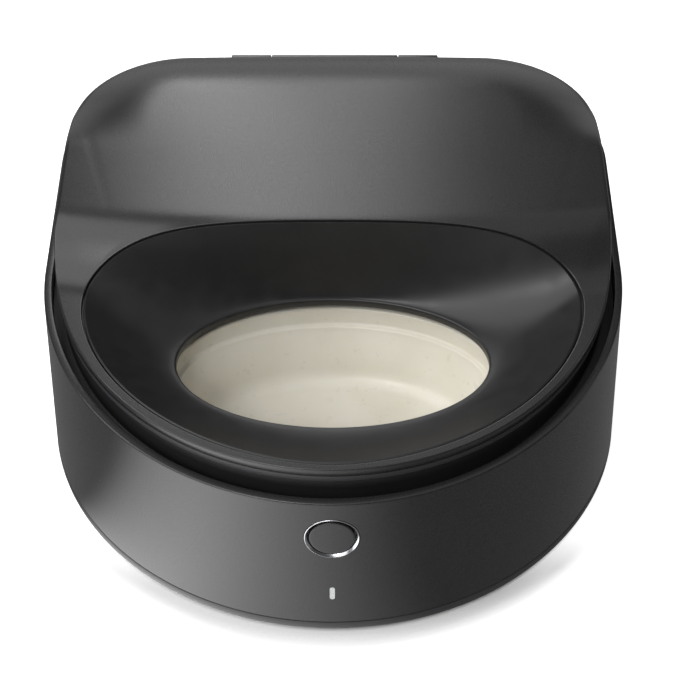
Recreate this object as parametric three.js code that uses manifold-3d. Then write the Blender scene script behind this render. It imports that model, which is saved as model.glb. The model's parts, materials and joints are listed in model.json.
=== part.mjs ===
// Chilled feeder for wet pet food: a round-fronted base with a turning tray of three bowls,
// and a hinged lid whose hood has one oval feeding opening with a rotary shutter under it.
// Millimetres, +Z up, the front faces -Y. The origin is on the table, at the centre of the front arc.
import * as THREE from 'three';
import { mergeVertices } from 'three/addons/utils/BufferGeometryUtils.js';
import Module from 'manifold-3d';

const wasm = await Module();
wasm.setup();

// Base outline: half circle in front, straight sides, two rounded rear corners
const rimRadius = 158;
const baseCorner = 72;
const baseFlare = 4.5; // how much wider the base stands on the table than at its rim
const rimFront = 98.6;
const rimBack = 122.6;
const rimLand = 4.2; // flat land on top of the wall
const rimEdge = 0.8;
const baseWall = 3;
const landDepth = 14;
const fit = 0.3; // gap between pieces that touch
const overrun = 4; // how far a cutter passes what it cuts
const overlap = 0.6; // how far joined solids reach into each other

// Bottom cover and feet
const coverBottom = 0.8;
const coverChamfer = 2;
const coverFloor = 2.5;
const coverTop = 7.4;
const grooveGap = 0.8;
const footRadius = 8;
const footHeight = 2.3;
const footInset = 34;
const footClearance = 0.3;
const bossRadius = 4.5;
const bossTop = 24;
const bossInset = 10;
const bossRib = 5;
const screwRadius = 1.5;
const screwLength = 13;
const screwHeadRadius = 3;
const screwHeadHeight = 1.6;

// Well that holds the tray, with the channel and collar under the lid
const wellFloorBottom = 34;
const wellFloor = 3;
const wellWall = 2.5;
const wellInset = 13; // inside of the well, measured in from the rim outline
const wellChamfer = 2;
const channelDepth = 10.3;
const channelFloor = 1.8;
const collarRise = 4.6;
const jacketThickness = 5.4;
const jacketBottom = 40;
const jacketNotch = 44;

// Lid
const lidInset = 8.5;
const lidGap = 6; // rim to the lid's lower edge
const lidDraftShare = 0.01;
const lidWall = 2.5;
const lipRise = 15.2; // rim to the top of the lip, which is parallel to the rim
const lipRound = 0.8;
const hoodRise = 20; // lip plane to the hood's face at its sides
const hoodCrown = 2.5; // how much higher the face is in its middle
const hoodRound = 2.4;
const hoodFoot = -30; // where the hood starts to climb from the lip, at its sides
const hoodShoulder = 9; // where it has its full height, at its sides
const hoodBow = 12; // how much further forward it stands in the middle
const hoodFallStart = 50;
const hoodFall = 6; // how far the face sinks towards the back
const hoodEdgeStart = 55; // where the crest starts to fall over
const hoodEdgeEnd = 105;
const hoodEdgeFall = 9;
const hoodEdgeWidth = 44;
const bandHeight = 3.9;
const bandInset = 0.4;
const bandChamfer = 0.8;

// Outline where the hood meets the funnel
const mouthMiddle = -39.8; // where the mouth is widest
const mouthRear = 38.2;
const lipWidth = 3; // lip in front of the mouth
const lipWidthBeside = 16.7; // lip beside its widest place
const mouthEdge = 0.6;
const mouthGroove = 2.1;
const mouthGrooveDepth = 2.2;
const mouthBead = 0.9;
const funnelWall = 2.2;

// Oval feeding opening
const openingMarginWidth = 3.3; // how far it lies inside the bowl under it
const openingMarginDepth = 3;
const lipClearance = 0.6; // shutter to the funnel's lip
const lipThickness = 4.6;
const lipRounding = 1.2;
const lipFlange = 3;

// Pan under the lid
const panInset = 16.6;
const panWall = 2;
const panRise = 1.2; // tray to the pan
const panFloor = 1.6;
const panFlange = 2.5;
const panChamfer = 1.2;
const panOpeningMargin = 5;
const sealThickness = 0.9;
const sealWidth = 1.8;

// Tray, turntable and drive
const traySideGap = 16; // well to the tray at the sides
const trayRearGap = 2; // well to the tray at the back
const trayDrop = 8.6; // front of the rim down to the tray
const trayPlate = 2.4;
const traySkirt = 10;
const traySkirtWall = 2;
const bowlEdge = 4.5; // least width of the tray's top outside a bowl
const bowlHub = 24.5; // tray's centre to a bowl
const bowlTip = 19.31; // a bowl's tip to the tray's edge
const bowlWall = 2;
const bowlStep = 3;
const bowlStepDrop = 11;
const bowlRise = 2.8; // turntable to the bowls
const bowlFloor = 2.4;
const bowlRound = 12;
const bowlTaper = 9;
const bowlCount = 3;
const socketRadius = 13;
const socketBore = 10.9;
const socketDepth = 8;
const tableInset = 17; // tray's edge to the turntable's
const tableThickness = 2.6;
const tableClearance = 1; // well's floor to the gear
const tableWindowMargin = 6; // gear to the windows
const tableWindowEdge = 14; // windows to the turntable's edge
const tableWindowCount = 6;
const tableSpoke = 12;
const padRadius = 9;
const hubRadius = 10;
const hubRise = 5; // how far the hub stands into the tray's socket
const spindleRadius = 5;
const spindleRise = 1;
const spindleClearance = 0.25;
const flangeRadius = 12;
const flangeHeight = 1.6;
const gearModule = 3;
const tableTeeth = 40;
const pinionTeeth = 8;
const gearThickness = 2.6;
const gearRim = 9;
const pinionTurnShare = -0.9; // place of the pinion round the table, as a share of a half turn
const shaftRadius = 3;
const shaftClearance = 0.4;
const shaftDepth = 3;
const gearboxRadius = 17;
const gearboxHeight = 12;
const motorRadius = 12;
const motorHeight = 13;

// Cooling
const coolerInset = 16; // well's back to the cold plate
const coldPlateSize = 58;
const coldPlateHeight = 3;
const moduleSize = 40;
const moduleHeight = 3.6;
const sinkSize = 60;
const sinkBase = 4;
const finCount = 11;
const finThickness = 1.4;
const fanSize = 60;
const fanHeight = 12;
const fanBore = 28;
const fanCorner = 3;
const fanHub = 12;
const fanBlades = 7;
const fanBladePitch = 6;
const fanBladeThickness = 1.2;
const fanTipGap = 1.2;
const fanStrut = 3;
const fanCup = 2.6;
const fanShaft = 1.5;
const slotWidth = 3;
const intakeSlots = 6;
const ventSlots = 9;
const ventPitch = 8;
const ventBottom = 16;
const ventTop = 44;

// Controls on the front wall
const buttonDrop = 25.4; // rim down to the middle of the button
const buttonRadius = 11.5;
const ringOuter = 14;
const ringInner = 12.5;
const ringProud = 0.35;
const ringDepth = 4.6;
const buttonTravel = 1.2;
const buttonFlange = 12.9;
const buttonFlangeThickness = 1.2;
const switchThickness = 2;
const switchWidth = 6.4;
const switchBoardWidth = 24;
const switchBoardHeight = 18;
const boardThickness = 1.2;
const lightZ = 31;
const lightWidth = 2.8;
const lightHeight = 9.2;
const lightDepth = 4.4;
const lightProud = 0.1;
const inletX = 58;
const inletZ = 24;
const inletRadius = 5.5;
const inletPinRadius = 1.1;
const inletDepth = 12;
const inletCollar = 2;
const inletWall = 1.6;
const inletFloor = 2;
const mainBoardInset = 67.5; // rim to the middle of the board
const mainBoardTurnShare = -0.24; // its place round the base, as a share of a half turn
const mainBoardWidth = 90;
const mainBoardDepth = 60;
const mainBoardZ = 9;
const standoffRadius = 3;

// Hinge at the top of the back
const hingeInset = 3.5; // back of the rim to the pin
const hingeRise = 13.4; // back of the rim up to the pin
const hingeBarrel = 4;
const hingePin = 1.6;
const hingePinGap = 0.1;
const hingeHalfWidth = 61.3;
const hingeKnuckle = 23.4;
const hingeGap = 0.5;
const postThickness = 3.4;
const webHeight = 6;

// Shutter
const doorY = 4;
const doorClearance = 0.4; // pan to the shutter
const doorThickness = 1.6;
const doorMarginWidth = 7.8; // how far it passes the opening
const doorMarginDepth = 8;
const doorHub = 9;
const doorNeck = 15;
const doorModule = 1.5;
const doorTeeth = 14;
const doorPinionTeeth = 10;
const doorGearHeight = 3;
const doorPin = 2.5;
const doorPinGap = 0.25;
const doorPinRise = 9.2; // shutter to the top of its pin
const doorBossRadius = 5;
const doorMotorRadius = 13;
const doorMotorHeight = 18;
const sensorWidth = 18;
const sensorDepth = 4;
const sensorHeight = 9;
const magnetWidth = 14;
const magnetDepth = 3;
const magnetHeight = 1.4;
const magnetSkin = 0.7;
const magnetX = 24;

// Counts of facets
const arcSteps = 20;
const cornerSteps = 5;
const backSteps = 4;
const ovalSteps = 22;
const roundSteps = 24;
const smallSteps = 8;
const slotSteps = 2;

// Places along the hood's sides where its profile turns fastest, as shares of the arc and of the side
const hoodArcShares = [0.0125, 0.025, 0.0375, 0.0645];
const hoodSideShares = [0.05, 0.105, 0.35, 0.62];
const plainSideShares = [0.5];

// Shapes of the curves, as shares or exponents
const faceShares = [0.1, 0.2, 0.3, 0.62, 0.93];
const faceUnderShares = [0.15, 0.3, 0.65];
const funnelShares = [0.22, 0.45, 0.7];
const funnelUnderShares = [0.12, 0.5];
const mouthFrontPower = 1.85;
const mouthRearPower = 2.8;
const crownPower = 2.2;
const funnelPower = 1.4;

// Worked out from the above
const baseBack = rimRadius; // the back lies as far behind the centre as the front arc lies before it
const rimOutline = { radius: rimRadius, back: baseBack, corner: baseCorner };
const footOutline = inset(rimOutline, -baseFlare);
const baseLean = baseFlare / rimFront;
const lidOutline = inset(rimOutline, lidInset);
const wellTop = wellFloorBottom + wellFloor;
const jacketTop = rimFront - landDepth - 2 * fit;
const trayRadius = rimRadius - wellInset - traySideGap;
const trayY = baseBack - wellInset - trayRearGap - trayRadius;
const trayTop = rimFront - trayDrop;
const bowlHalfDepth = (trayRadius - bowlEdge - bowlHub) / 2;
const bowlOffset = bowlHub + bowlHalfDepth;
const bowlHalfWidth = Math.sqrt(trayRadius ** 2 - bowlOffset ** 2) - bowlTip;
const panBottom = trayTop + panRise;
const panTop = panBottom + panFloor;
const doorBottom = panTop + doorClearance;
const doorTop = doorBottom + doorThickness;
const doorPinTop = doorTop + doorPinRise;
const openingHalfWidth = bowlHalfWidth - openingMarginWidth;
const openingHalfDepth = bowlHalfDepth - openingMarginDepth;
const openingY = trayY - bowlOffset;
const openingTop = doorTop + lipClearance + lipThickness;
const doorHalfWidth = openingHalfWidth + doorMarginWidth;
const doorHalfDepth = openingHalfDepth + doorMarginDepth;
const mouthHalfWidth = lidOutline.radius - lipWidthBeside;
const mouthFront = lidOutline.radius + mouthMiddle - lipWidth;
const tableBottom = wellTop + tableClearance + gearThickness;
const tableTop = tableBottom + tableThickness;
const tableRadius = trayRadius - tableInset;
const bowlBottom = tableTop + bowlRise;
const hubTop = bowlBottom + hubRise;
const spindleTop = hubTop + spindleRise;
const tablePitch = gearModule * tableTeeth / 2;
const tableWindowInner = tablePitch + tableWindowMargin;
const tableWindowOuter = tableRadius - tableWindowEdge;
const coolerY = baseBack - wellInset - coolerInset - coldPlateSize / 2;
const buttonZ = rimFront - buttonDrop;
const mainBoardReach = rimRadius - mainBoardInset;
const mainBoardX = mainBoardReach * Math.cos(mainBoardTurnShare * Math.PI);
const mainBoardY = mainBoardReach * Math.sin(mainBoardTurnShare * Math.PI);
const hingeY = baseBack - hingeInset;
const hingeZ = rimBack + hingeRise;
const pinionPitch = gearModule * pinionTeeth / 2;
const pinionTurn = pinionTurnShare * Math.PI;
const pinionX = (tablePitch + pinionPitch) * Math.cos(pinionTurn);
const pinionY = trayY + (tablePitch + pinionPitch) * Math.sin(pinionTurn);
const gearBottom = tableBottom - gearThickness;
const doorPitch = doorModule * doorTeeth / 2;
const doorPinionPitch = doorModule * doorPinionTeeth / 2;
const doorMotorY = doorY + doorPitch + doorPinionPitch;
const gearHeight = doorGearHeight + doorTop;

function lerp(a, b, share) {
  return a + (b - a) * share;
}

function inset({ radius, back, corner }, distance) {
  return { radius: radius - distance, back: back - distance, corner: corner - distance };
}

// The rim is a plane that rises to the back
function rimHeight(y) {
  return lerp(rimFront, rimBack, (y + rimRadius) / (rimRadius + baseBack));
}

function aboveRim(rise) {
  return (y) => rimHeight(y) + rise;
}

// Stations run anticlockwise round the outline, seen from above, from the right end of the front arc
function makeStations(sideShares, extraArcShares) {
  const stations = [];
  const sides = [0, ...sideShares];
  sides.forEach((share) => stations.push({ zone: 'right', share }));
  for (let i = 0; i < cornerSteps; i += 1) stations.push({ zone: 'rearRight', share: i / cornerSteps });
  for (let i = 0; i < backSteps; i += 1) stations.push({ zone: 'back', share: i / backSteps });
  for (let i = 0; i < cornerSteps; i += 1) stations.push({ zone: 'rearLeft', share: i / cornerSteps });
  [...sideShares, 1].reverse().forEach((share) => stations.push({ zone: 'left', share }));
  const arc = new Set(extraArcShares.flatMap((share) => [share, 1 - share]));
  for (let i = 0; i < arcSteps; i += 1) arc.add(i / arcSteps);
  [...arc].sort((a, b) => a - b).forEach((share) => stations.push({ zone: 'front', share }));
  return stations;
}

const lidStations = makeStations(hoodSideShares, hoodArcShares);
const baseStations = makeStations(plainSideShares, []);

function outlinePoint({ radius, back, corner }, { zone, share }) {
  const straight = back - corner;
  const flat = radius - corner;
  const turn = share * Math.PI / 2;
  if (zone === 'right') return [radius, straight * share];
  if (zone === 'rearRight') return [flat + corner * Math.cos(turn), straight + corner * Math.sin(turn)];
  if (zone === 'back') return [lerp(flat, -flat, share), back];
  if (zone === 'rearLeft') return [-flat - corner * Math.sin(turn), straight + corner * Math.cos(turn)];
  if (zone === 'left') return [-radius, straight * share];
  return [-radius * Math.cos(share * Math.PI), -radius * Math.sin(share * Math.PI)];
}

// One ring of a loft: an outline at a height that may depend on y, drawn in by the lean of the wall
function ring(stations, outline, height, lean = 0, leanFrom = 0) {
  return stations.map((station) => {
    const [x0, y0] = outlinePoint(outline, station);
    const z = typeof height === 'function' ? height(y0, x0) : height;
    const [x, y] = outlinePoint(inset(outline, lean * (z - leanFrom)), station);
    return [x, y, z];
  });
}

// Rings become one closed skin. A closed loft runs back to its first ring, an open one gets flat ends.
function loft(rings, closed) {
  const count = rings[0].length;
  const vertices = rings.flat(2);
  const triangles = [];
  const spans = closed ? rings.length : rings.length - 1;
  for (let k = 0; k < spans; k += 1) {
    const low = k * count;
    const high = ((k + 1) % rings.length) * count;
    for (let i = 0; i < count; i += 1) {
      const j = (i + 1) % count;
      triangles.push(low + i, low + j, high + j, low + i, high + j, high + i);
    }
  }
  if (!closed) {
    [rings[0], rings.at(-1)].forEach((end, side) => {
      const centre = [0, 1, 2].map((axis) => end.reduce((sum, p) => sum + p[axis], 0) / count);
      const hub = vertices.length / 3;
      vertices.push(...centre);
      const start = side === 0 ? 0 : (rings.length - 1) * count;
      for (let i = 0; i < count; i += 1) {
        const j = (i + 1) % count;
        if (side === 0) triangles.push(hub, start + j, start + i);
        else triangles.push(hub, start + i, start + j);
      }
    });
  }
  return makeSolid(new Float32Array(vertices), new Uint32Array(triangles));
}

function makeSolid(vertProperties, triVerts) {
  return new wasm.Manifold(new wasm.Mesh({ numProp: 3, vertProperties, triVerts }));
}

// A three.js geometry becomes a solid, with its faces turned outwards
function solid(geometry) {
  const bare = geometry.clone();
  bare.deleteAttribute('normal');
  bare.deleteAttribute('uv');
  const merged = mergeVertices(bare, fit / 1000);
  const index = Uint32Array.from(merged.index.array);
  const position = merged.attributes.position;
  const a = new THREE.Vector3();
  const b = new THREE.Vector3();
  const c = new THREE.Vector3();
  let volume = 0;
  const kept = [];
  for (let i = 0; i < index.length; i += 3) {
    const corners = [index[i], index[i + 1], index[i + 2]];
    if (new Set(corners).size < 3) continue;
    a.fromBufferAttribute(position, corners[0]);
    b.fromBufferAttribute(position, corners[1]);
    c.fromBufferAttribute(position, corners[2]);
    volume += a.dot(b.cross(c));
    kept.push(corners);
  }
  if (volume < 0) kept.forEach((corners) => corners.reverse());
  return makeSolid(Float32Array.from(position.array), Uint32Array.from(kept.flat()));
}

function geometryOf(body) {
  const mesh = body.getMesh();
  const geometry = new THREE.BufferGeometry();
  geometry.setAttribute('position', new THREE.BufferAttribute(Float32Array.from(mesh.vertProperties), 3));
  geometry.setIndex(new THREE.BufferAttribute(Uint32Array.from(mesh.triVerts), 1));
  geometry.computeVertexNormals();
  return geometry;
}

// An upright cylinder, or a cone where the top radius differs
function rod(radius, bottom, top, x = 0, y = 0, steps = roundSteps, topRadius = radius) {
  const geometry = new THREE.CylinderGeometry(topRadius, radius, top - bottom, steps);
  geometry.rotateX(Math.PI / 2);
  geometry.translate(x, y, (top + bottom) / 2);
  return solid(geometry);
}

// A cylinder that lies along Y
function rodY(radius, front, rear, x, z, steps = roundSteps) {
  const geometry = new THREE.CylinderGeometry(radius, radius, rear - front, steps);
  geometry.translate(x, (front + rear) / 2, z);
  return solid(geometry);
}

// A cylinder that lies along X
function rodX(radius, left, right, y, z, steps = smallSteps) {
  const geometry = new THREE.CylinderGeometry(radius, radius, right - left, steps);
  geometry.rotateZ(Math.PI / 2);
  geometry.translate((left + right) / 2, y, z);
  return solid(geometry);
}

function box(x0, x1, y0, y1, z0, z1) {
  const geometry = new THREE.BoxGeometry(x1 - x0, y1 - y0, z1 - z0);
  geometry.translate((x0 + x1) / 2, (y0 + y1) / 2, (z0 + z1) / 2);
  return solid(geometry);
}

// A flat shape drawn in X and Y, raised from one height to another
function plate(points, bottom, top, x = 0, y = 0) {
  const shape = new THREE.Shape(points.map(([px, py]) => new THREE.Vector2(px, py)));
  const geometry = new THREE.ExtrudeGeometry(shape, { depth: top - bottom, bevelEnabled: false });
  geometry.translate(x, y, bottom);
  return solid(geometry);
}

function revolve(profile, x, y, steps = roundSteps) {
  const points = [...profile, profile[0]].map(([r, z]) => new THREE.Vector2(r, z));
  const geometry = new THREE.LatheGeometry(points, steps);
  geometry.rotateX(Math.PI / 2);
  geometry.translate(x, y, 0);
  return solid(geometry);
}

function oval(halfWidth, halfDepth, steps = ovalSteps) {
  return Array.from({ length: steps }, (_, i) => {
    const turn = 2 * Math.PI * i / steps;
    return [halfWidth * Math.cos(turn), halfDepth * Math.sin(turn)];
  });
}

// A slot outline with half-round ends, long in its second direction
function slotOutline(width, length) {
  const steps = slotSteps;
  const radius = width / 2;
  const straight = length / 2 - radius;
  return Array.from({ length: 2 * steps + 2 }, (_, i) => {
    const upper = i <= steps;
    const turn = Math.PI * (upper ? i : i - 1) / steps;
    return [radius * Math.cos(turn), radius * Math.sin(turn) + (upper ? straight : -straight)];
  });
}

// Straight-sided teeth with running clearance; a tooth stands at the angle given
function gearOutline(teeth, module, toothAt) {
  const pitch = module * teeth / 2;
  const rootShare = 1.15;
  const tipShare = 0.85;
  const rootHalfShare = 0.27;
  const tipHalfShare = 0.11;
  const step = 2 * Math.PI / teeth;
  const points = [];
  for (let i = 0; i < teeth; i += 1) {
    const middle = toothAt + i * step;
    const corners = [
      [pitch - rootShare * module, -rootHalfShare],
      [pitch + tipShare * module, -tipHalfShare],
      [pitch + tipShare * module, tipHalfShare],
      [pitch - rootShare * module, rootHalfShare],
    ];
    corners.forEach(([radius, share]) => {
      const turn = middle + share * step;
      points.push([radius * Math.cos(turn), radius * Math.sin(turn)]);
    });
  }
  return points;
}

function mirrored(place) {
  return [place, [-place[0], place[1]]];
}

const feeder = new THREE.Group();

function add(name, body, color, roughness, metalness = 0) {
  const material = new THREE.MeshStandardMaterial({ color, roughness, metalness });
  const mesh = new THREE.Mesh(geometryOf(body), material);
  mesh.name = name;
  feeder.add(mesh);
}

const shellGrey = 0x4c4c4e;
const darkGrey = 0x2d2d2f;
const wellBlack = 0x141415;
const trayBeige = 0xd5d0c3;
const steel = 0xb9bcc0;
const chrome = 0xe2e4e6;
const aluminium = 0xa9adb2;
const rubberBlack = 0x1c1c1c;
const boardGreen = 0x1d5a3a;
const foamWhite = 0xd9dad6;
const nylonWhite = 0xe6e4dc;
const lightWhite = 0xf4f6f4;

// The top of the lip is a plane parallel to the rim
const lipTop = aboveRim(lipRise);

// Goes softly from none at 0 to all at 1
function smooth(share) {
  const held = Math.min(1, Math.max(0, share));
  return held ** 2 * (3 - 2 * held);
}

// How much of the hood stands at a point: none in front of its foot, all of it behind its shoulder
function hoodShare(x, y) {
  const side = Math.min(1, Math.abs(x) / lidOutline.radius);
  const forward = hoodBow * (1 - side ** 2);
  return smooth((y + forward - hoodFoot) / (hoodShoulder - hoodFoot));
}

// The lid's upper face: the lip's plane in front, the crowned hood behind, sinking towards the back
function lidFace(x, y) {
  const side = Math.abs(x) / lidOutline.radius;
  const rise = hoodRise + hoodCrown * (1 - side ** crownPower);
  const behind = Math.max(0, (y - hoodFallStart) / (lidOutline.back - hoodFallStart));
  return lipTop(y) + hoodShare(x, y) * rise - hoodFall * behind ** 2;
}

// The crest falls over round the rear corners and the back
function edgeFall(y) {
  return hoodEdgeFall * smooth((y - hoodEdgeStart) / (hoodEdgeEnd - hoodEdgeStart));
}

function crestHeight(x, y) {
  return lidFace(x, y) - edgeFall(y);
}

// The mouth is two half ovals of higher and lower power that meet at its widest place
const crestPoints = lidStations.map((station) => outlinePoint(lidOutline, station));

function mouthAngle([x, y]) {
  const depth = y < mouthMiddle ? lidOutline.radius + mouthMiddle : lidOutline.back - mouthMiddle;
  return Math.atan2((y - mouthMiddle) / depth, x / lidOutline.radius);
}

function mouthRing(margin, drop) {
  return crestPoints.map((point) => {
    const turn = mouthAngle(point);
    const rear = Math.sin(turn) > 0;
    const power = rear ? mouthRearPower : mouthFrontPower;
    const across = Math.sign(Math.cos(turn)) * Math.abs(Math.cos(turn)) ** (2 / power);
    const along = Math.sign(Math.sin(turn)) * Math.abs(Math.sin(turn)) ** (2 / power);
    const depth = rear ? mouthRear : mouthFront;
    const z = lidFace(mouthHalfWidth * across, mouthMiddle + depth * along) - drop;
    return [(mouthHalfWidth - margin) * across, mouthMiddle + (depth - margin) * along, z];
  });
}

function openingRing(margin, z) {
  return crestPoints.map((point) => {
    const turn = mouthAngle(point);
    return [
      (openingHalfWidth + margin) * Math.cos(turn),
      openingY + (openingHalfDepth + margin) * Math.sin(turn),
      z,
    ];
  });
}

// The crest's rounding grows from the lip to the hood
function crestRound(x, y) {
  return lerp(lipRound, hoodRound, hoodShare(x, y));
}

function crestRing(insetShare, dropShare, margin = 0, drop = 0) {
  return lidStations.map((station) => {
    const [x0, y0] = outlinePoint(lidOutline, station);
    const round = crestRound(x0, y0);
    const z = crestHeight(x0, y0) - round * dropShare - drop;
    const draw = round * insetShare + margin + lidDraftShare * (z - rimHeight(y0) - lidGap);
    const [x, y] = outlinePoint(inset(lidOutline, draw), station);
    return [x, y, z];
  });
}

// A ring part way from the crest to the mouth. It follows the lid's face, less the depth of the two rings
// under it, and takes up the crest's fall within a strip along the edge.
function faceRing(share, crest, mouth) {
  return crest.map((from, i) => {
    const to = mouth[i];
    const [, y0] = crestPoints[i];
    const span = Math.hypot(to[0] - from[0], to[1] - from[1]);
    const fall = edgeFall(y0);
    const strip = Math.max(0, 1 - share * span / hoodEdgeWidth);
    const depthAtCrest = lidFace(from[0], from[1]) - fall - from[2];
    const depthAtMouth = lidFace(to[0], to[1]) - to[2];
    const x = lerp(from[0], to[0], share);
    const y = lerp(from[1], to[1], share);
    return [x, y, lidFace(x, y) - fall * strip ** 2 - lerp(depthAtCrest, depthAtMouth, share)];
  });
}

function makeLidShell() {
  const lower = aboveRim(lidGap + bandHeight + fit);
  const crest = crestRing(1, 0);
  const mouth = mouthRing(0, 0);
  const crestUnder = crestRing(1, 1, lidWall, lidWall);
  const mouthUnder = mouthRing(-mouthEdge, mouthGrooveDepth + funnelWall + mouthEdge);
  const rings = [
    ring(lidStations, lidOutline, lower),
    crestRing(0, 1),
    crestRing(0.3, 0.3),
    crest,
    ...faceShares.map((share) => faceRing(share, crest, mouth)),
    mouth,
    mouthRing(mouthEdge, mouthEdge),
    mouthRing(mouthEdge, mouthGrooveDepth + funnelWall + mouthEdge),
    ...[...faceUnderShares].reverse().map((share) => faceRing(share, crestUnder, mouthUnder)),
    crestUnder,
    ring(lidStations, inset(lidOutline, lidWall), lower),
  ];
  const shell = loft(rings, true);
  return shell.add(knuckle(-hingeHalfWidth + hingeKnuckle + hingeGap, hingeHalfWidth - hingeKnuckle - hingeGap, true))
    .subtract(pinBore());
}

function pinBore() {
  const reach = hingeHalfWidth + overrun;
  return rodX(hingePin + hingePinGap, -reach, reach, hingeY, hingeZ, 2 * smallSteps);
}

// A hinge barrel: the lid's is webbed forwards to the hood's back, the base's stands on a post
function knuckle(left, right, onLid) {
  const barrel = rodX(hingeBarrel, left, right, hingeY, hingeZ, smallSteps);
  if (onLid) {
    const wall = lidOutline.back - lidWall / 2;
    return barrel.add(box(left, right, wall, hingeY, hingeZ - webHeight / 2, hingeZ + webHeight / 2));
  }
  const back = baseBack - fit - overlap;
  return barrel.add(box(left, right, back - postThickness, back, rimBack - landDepth, hingeZ));
}

const bossTurnShares = [0.24, 0.76];

// Four screw bosses: two on the front arc, two near the rear corners
function bossPlaces() {
  const outline = inset(footOutline, bossInset);
  const front = bossTurnShares.map((share) => outlinePoint(outline, { zone: 'front', share }));
  const rear = mirrored(outlinePoint(outline, { zone: 'rearRight', share: 0.5 }));
  return [...front, ...rear];
}

function makeBaseShell() {
  const foot = footOutline;
  const bottom = coverTop + grooveGap;
  let shell = loft([
    ring(baseStations, foot, bottom, baseLean),
    ring(baseStations, foot, aboveRim(-rimEdge), baseLean),
    ring(baseStations, inset(foot, rimEdge), aboveRim(0), baseLean),
    ring(baseStations, inset(foot, rimLand), aboveRim(0), baseLean),
    ring(baseStations, inset(foot, rimLand), aboveRim(-landDepth), baseLean),
    ring(baseStations, inset(foot, baseWall), aboveRim(-landDepth - rimLand + baseWall), baseLean),
    ring(baseStations, inset(foot, baseWall), bottom, baseLean),
  ], true);
  bossPlaces().forEach(([x, y]) => {
    shell = shell.add(boss(x, y, bottom));
    shell = shell.subtract(rod(screwRadius - fit, coverBottom, bossTop - overrun, x, y, smallSteps));
  });
  shell = shell.add(knuckle(-hingeHalfWidth, -hingeHalfWidth + hingeKnuckle, false));
  shell = shell.add(knuckle(hingeHalfWidth - hingeKnuckle, hingeHalfWidth, false));
  shell = shell.subtract(pinBore());
  const wallFront = -footOutline.radius;
  shell = shell.subtract(rodY(ringOuter + fit, wallFront - overrun, wallFront + jacketNotch / 2, 0, buttonZ));
  shell = shell.subtract(lightCutter(lightWidth + 2 * fit, lightHeight + 2 * fit, 0));
  const wallBack = footOutline.back;
  for (let i = 0; i < ventSlots; i += 1) {
    const x = (i - (ventSlots - 1) / 2) * ventPitch;
    const cut = plate(slotOutline(slotWidth, ventTop - ventBottom), 0, 2 * overrun + baseWall);
    shell = shell.subtract(cut.rotate([90, 0, 0]).translate([x, wallBack + overrun, (ventTop + ventBottom) / 2]));
  }
  shell = shell.subtract(rodY(inletRadius + fit, wallBack - 2 * overrun, wallBack + overrun, inletX, inletZ));
  return shell;
}

// A boss with a rib that ties it to the wall
function boss(x, y, bottom) {
  const reach = Math.hypot(x, y);
  const outward = Math.atan2(y, x) * 180 / Math.PI;
  const rib = box(0, bossInset - baseWall, -bossRib / 2, bossRib / 2, bottom + fit, bossTop);
  const post = rod(bossRadius, coverBottom + coverFloor + fit, bossTop, reach, 0, smallSteps);
  return post.add(rib.translate([reach, 0, 0])).rotate([0, 0, outward]);
}

// The indicator's slot, as a solid that reaches through the front wall
function lightCutter(width, height, inward) {
  const front = -footOutline.radius - overrun;
  const rear = -footOutline.radius + lightDepth + (inward || overrun);
  return plate(slotOutline(width, height), 0, rear - front)
    .rotate([90, 0, 0])
    .translate([0, rear, lightZ]);
}

// The wall's own outer surface, moved out or in, to trim what is set into it
function wallEnvelope(offset) {
  const outline = inset(footOutline, -offset);
  return loft([
    ring(baseStations, outline, coverTop, baseLean),
    ring(baseStations, outline, aboveRim(0), baseLean),
  ], false);
}

function makeBottomCover() {
  const foot = footOutline;
  const floor = coverBottom + coverFloor;
  let cover = loft([
    ring(baseStations, inset(foot, coverChamfer), coverBottom),
    ring(baseStations, foot, coverBottom + coverChamfer, baseLean),
    ring(baseStations, foot, coverTop, baseLean),
    ring(baseStations, inset(foot, baseWall), coverTop, baseLean),
    ring(baseStations, inset(foot, baseWall), floor, baseLean),
  ], false);
  footPlaces().forEach(([x, y]) => {
    const pocket = rod(footRadius + footClearance, 0, footHeight + fit, x, y, 2 * smallSteps);
    cover = cover.subtract(pocket);
  });
  bossPlaces().forEach(([x, y]) => {
    cover = cover.subtract(rod(screwRadius + fit, 0, floor + overrun, x, y, smallSteps));
    cover = cover.subtract(rod(screwHeadRadius + fit, 0, coverBottom + screwHeadHeight, x, y, smallSteps));
  });
  const pitch = 2 * fanBore / intakeSlots;
  for (let i = 0; i < intakeSlots; i += 1) {
    const x = (i - (intakeSlots - 1) / 2) * pitch;
    const length = 2 * Math.sqrt(fanBore ** 2 - x ** 2);
    cover = cover.subtract(plate(slotOutline(slotWidth, length), 0, floor + overrun, x, coolerY));
  }
  return cover;
}

function footPlaces() {
  const outline = inset(footOutline, footInset);
  const front = outlinePoint(outline, { zone: 'front', share: 0.75 });
  const rear = outlinePoint(outline, { zone: 'rearRight', share: 0.5 });
  return [...mirrored(front), ...mirrored(rear)];
}

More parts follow.
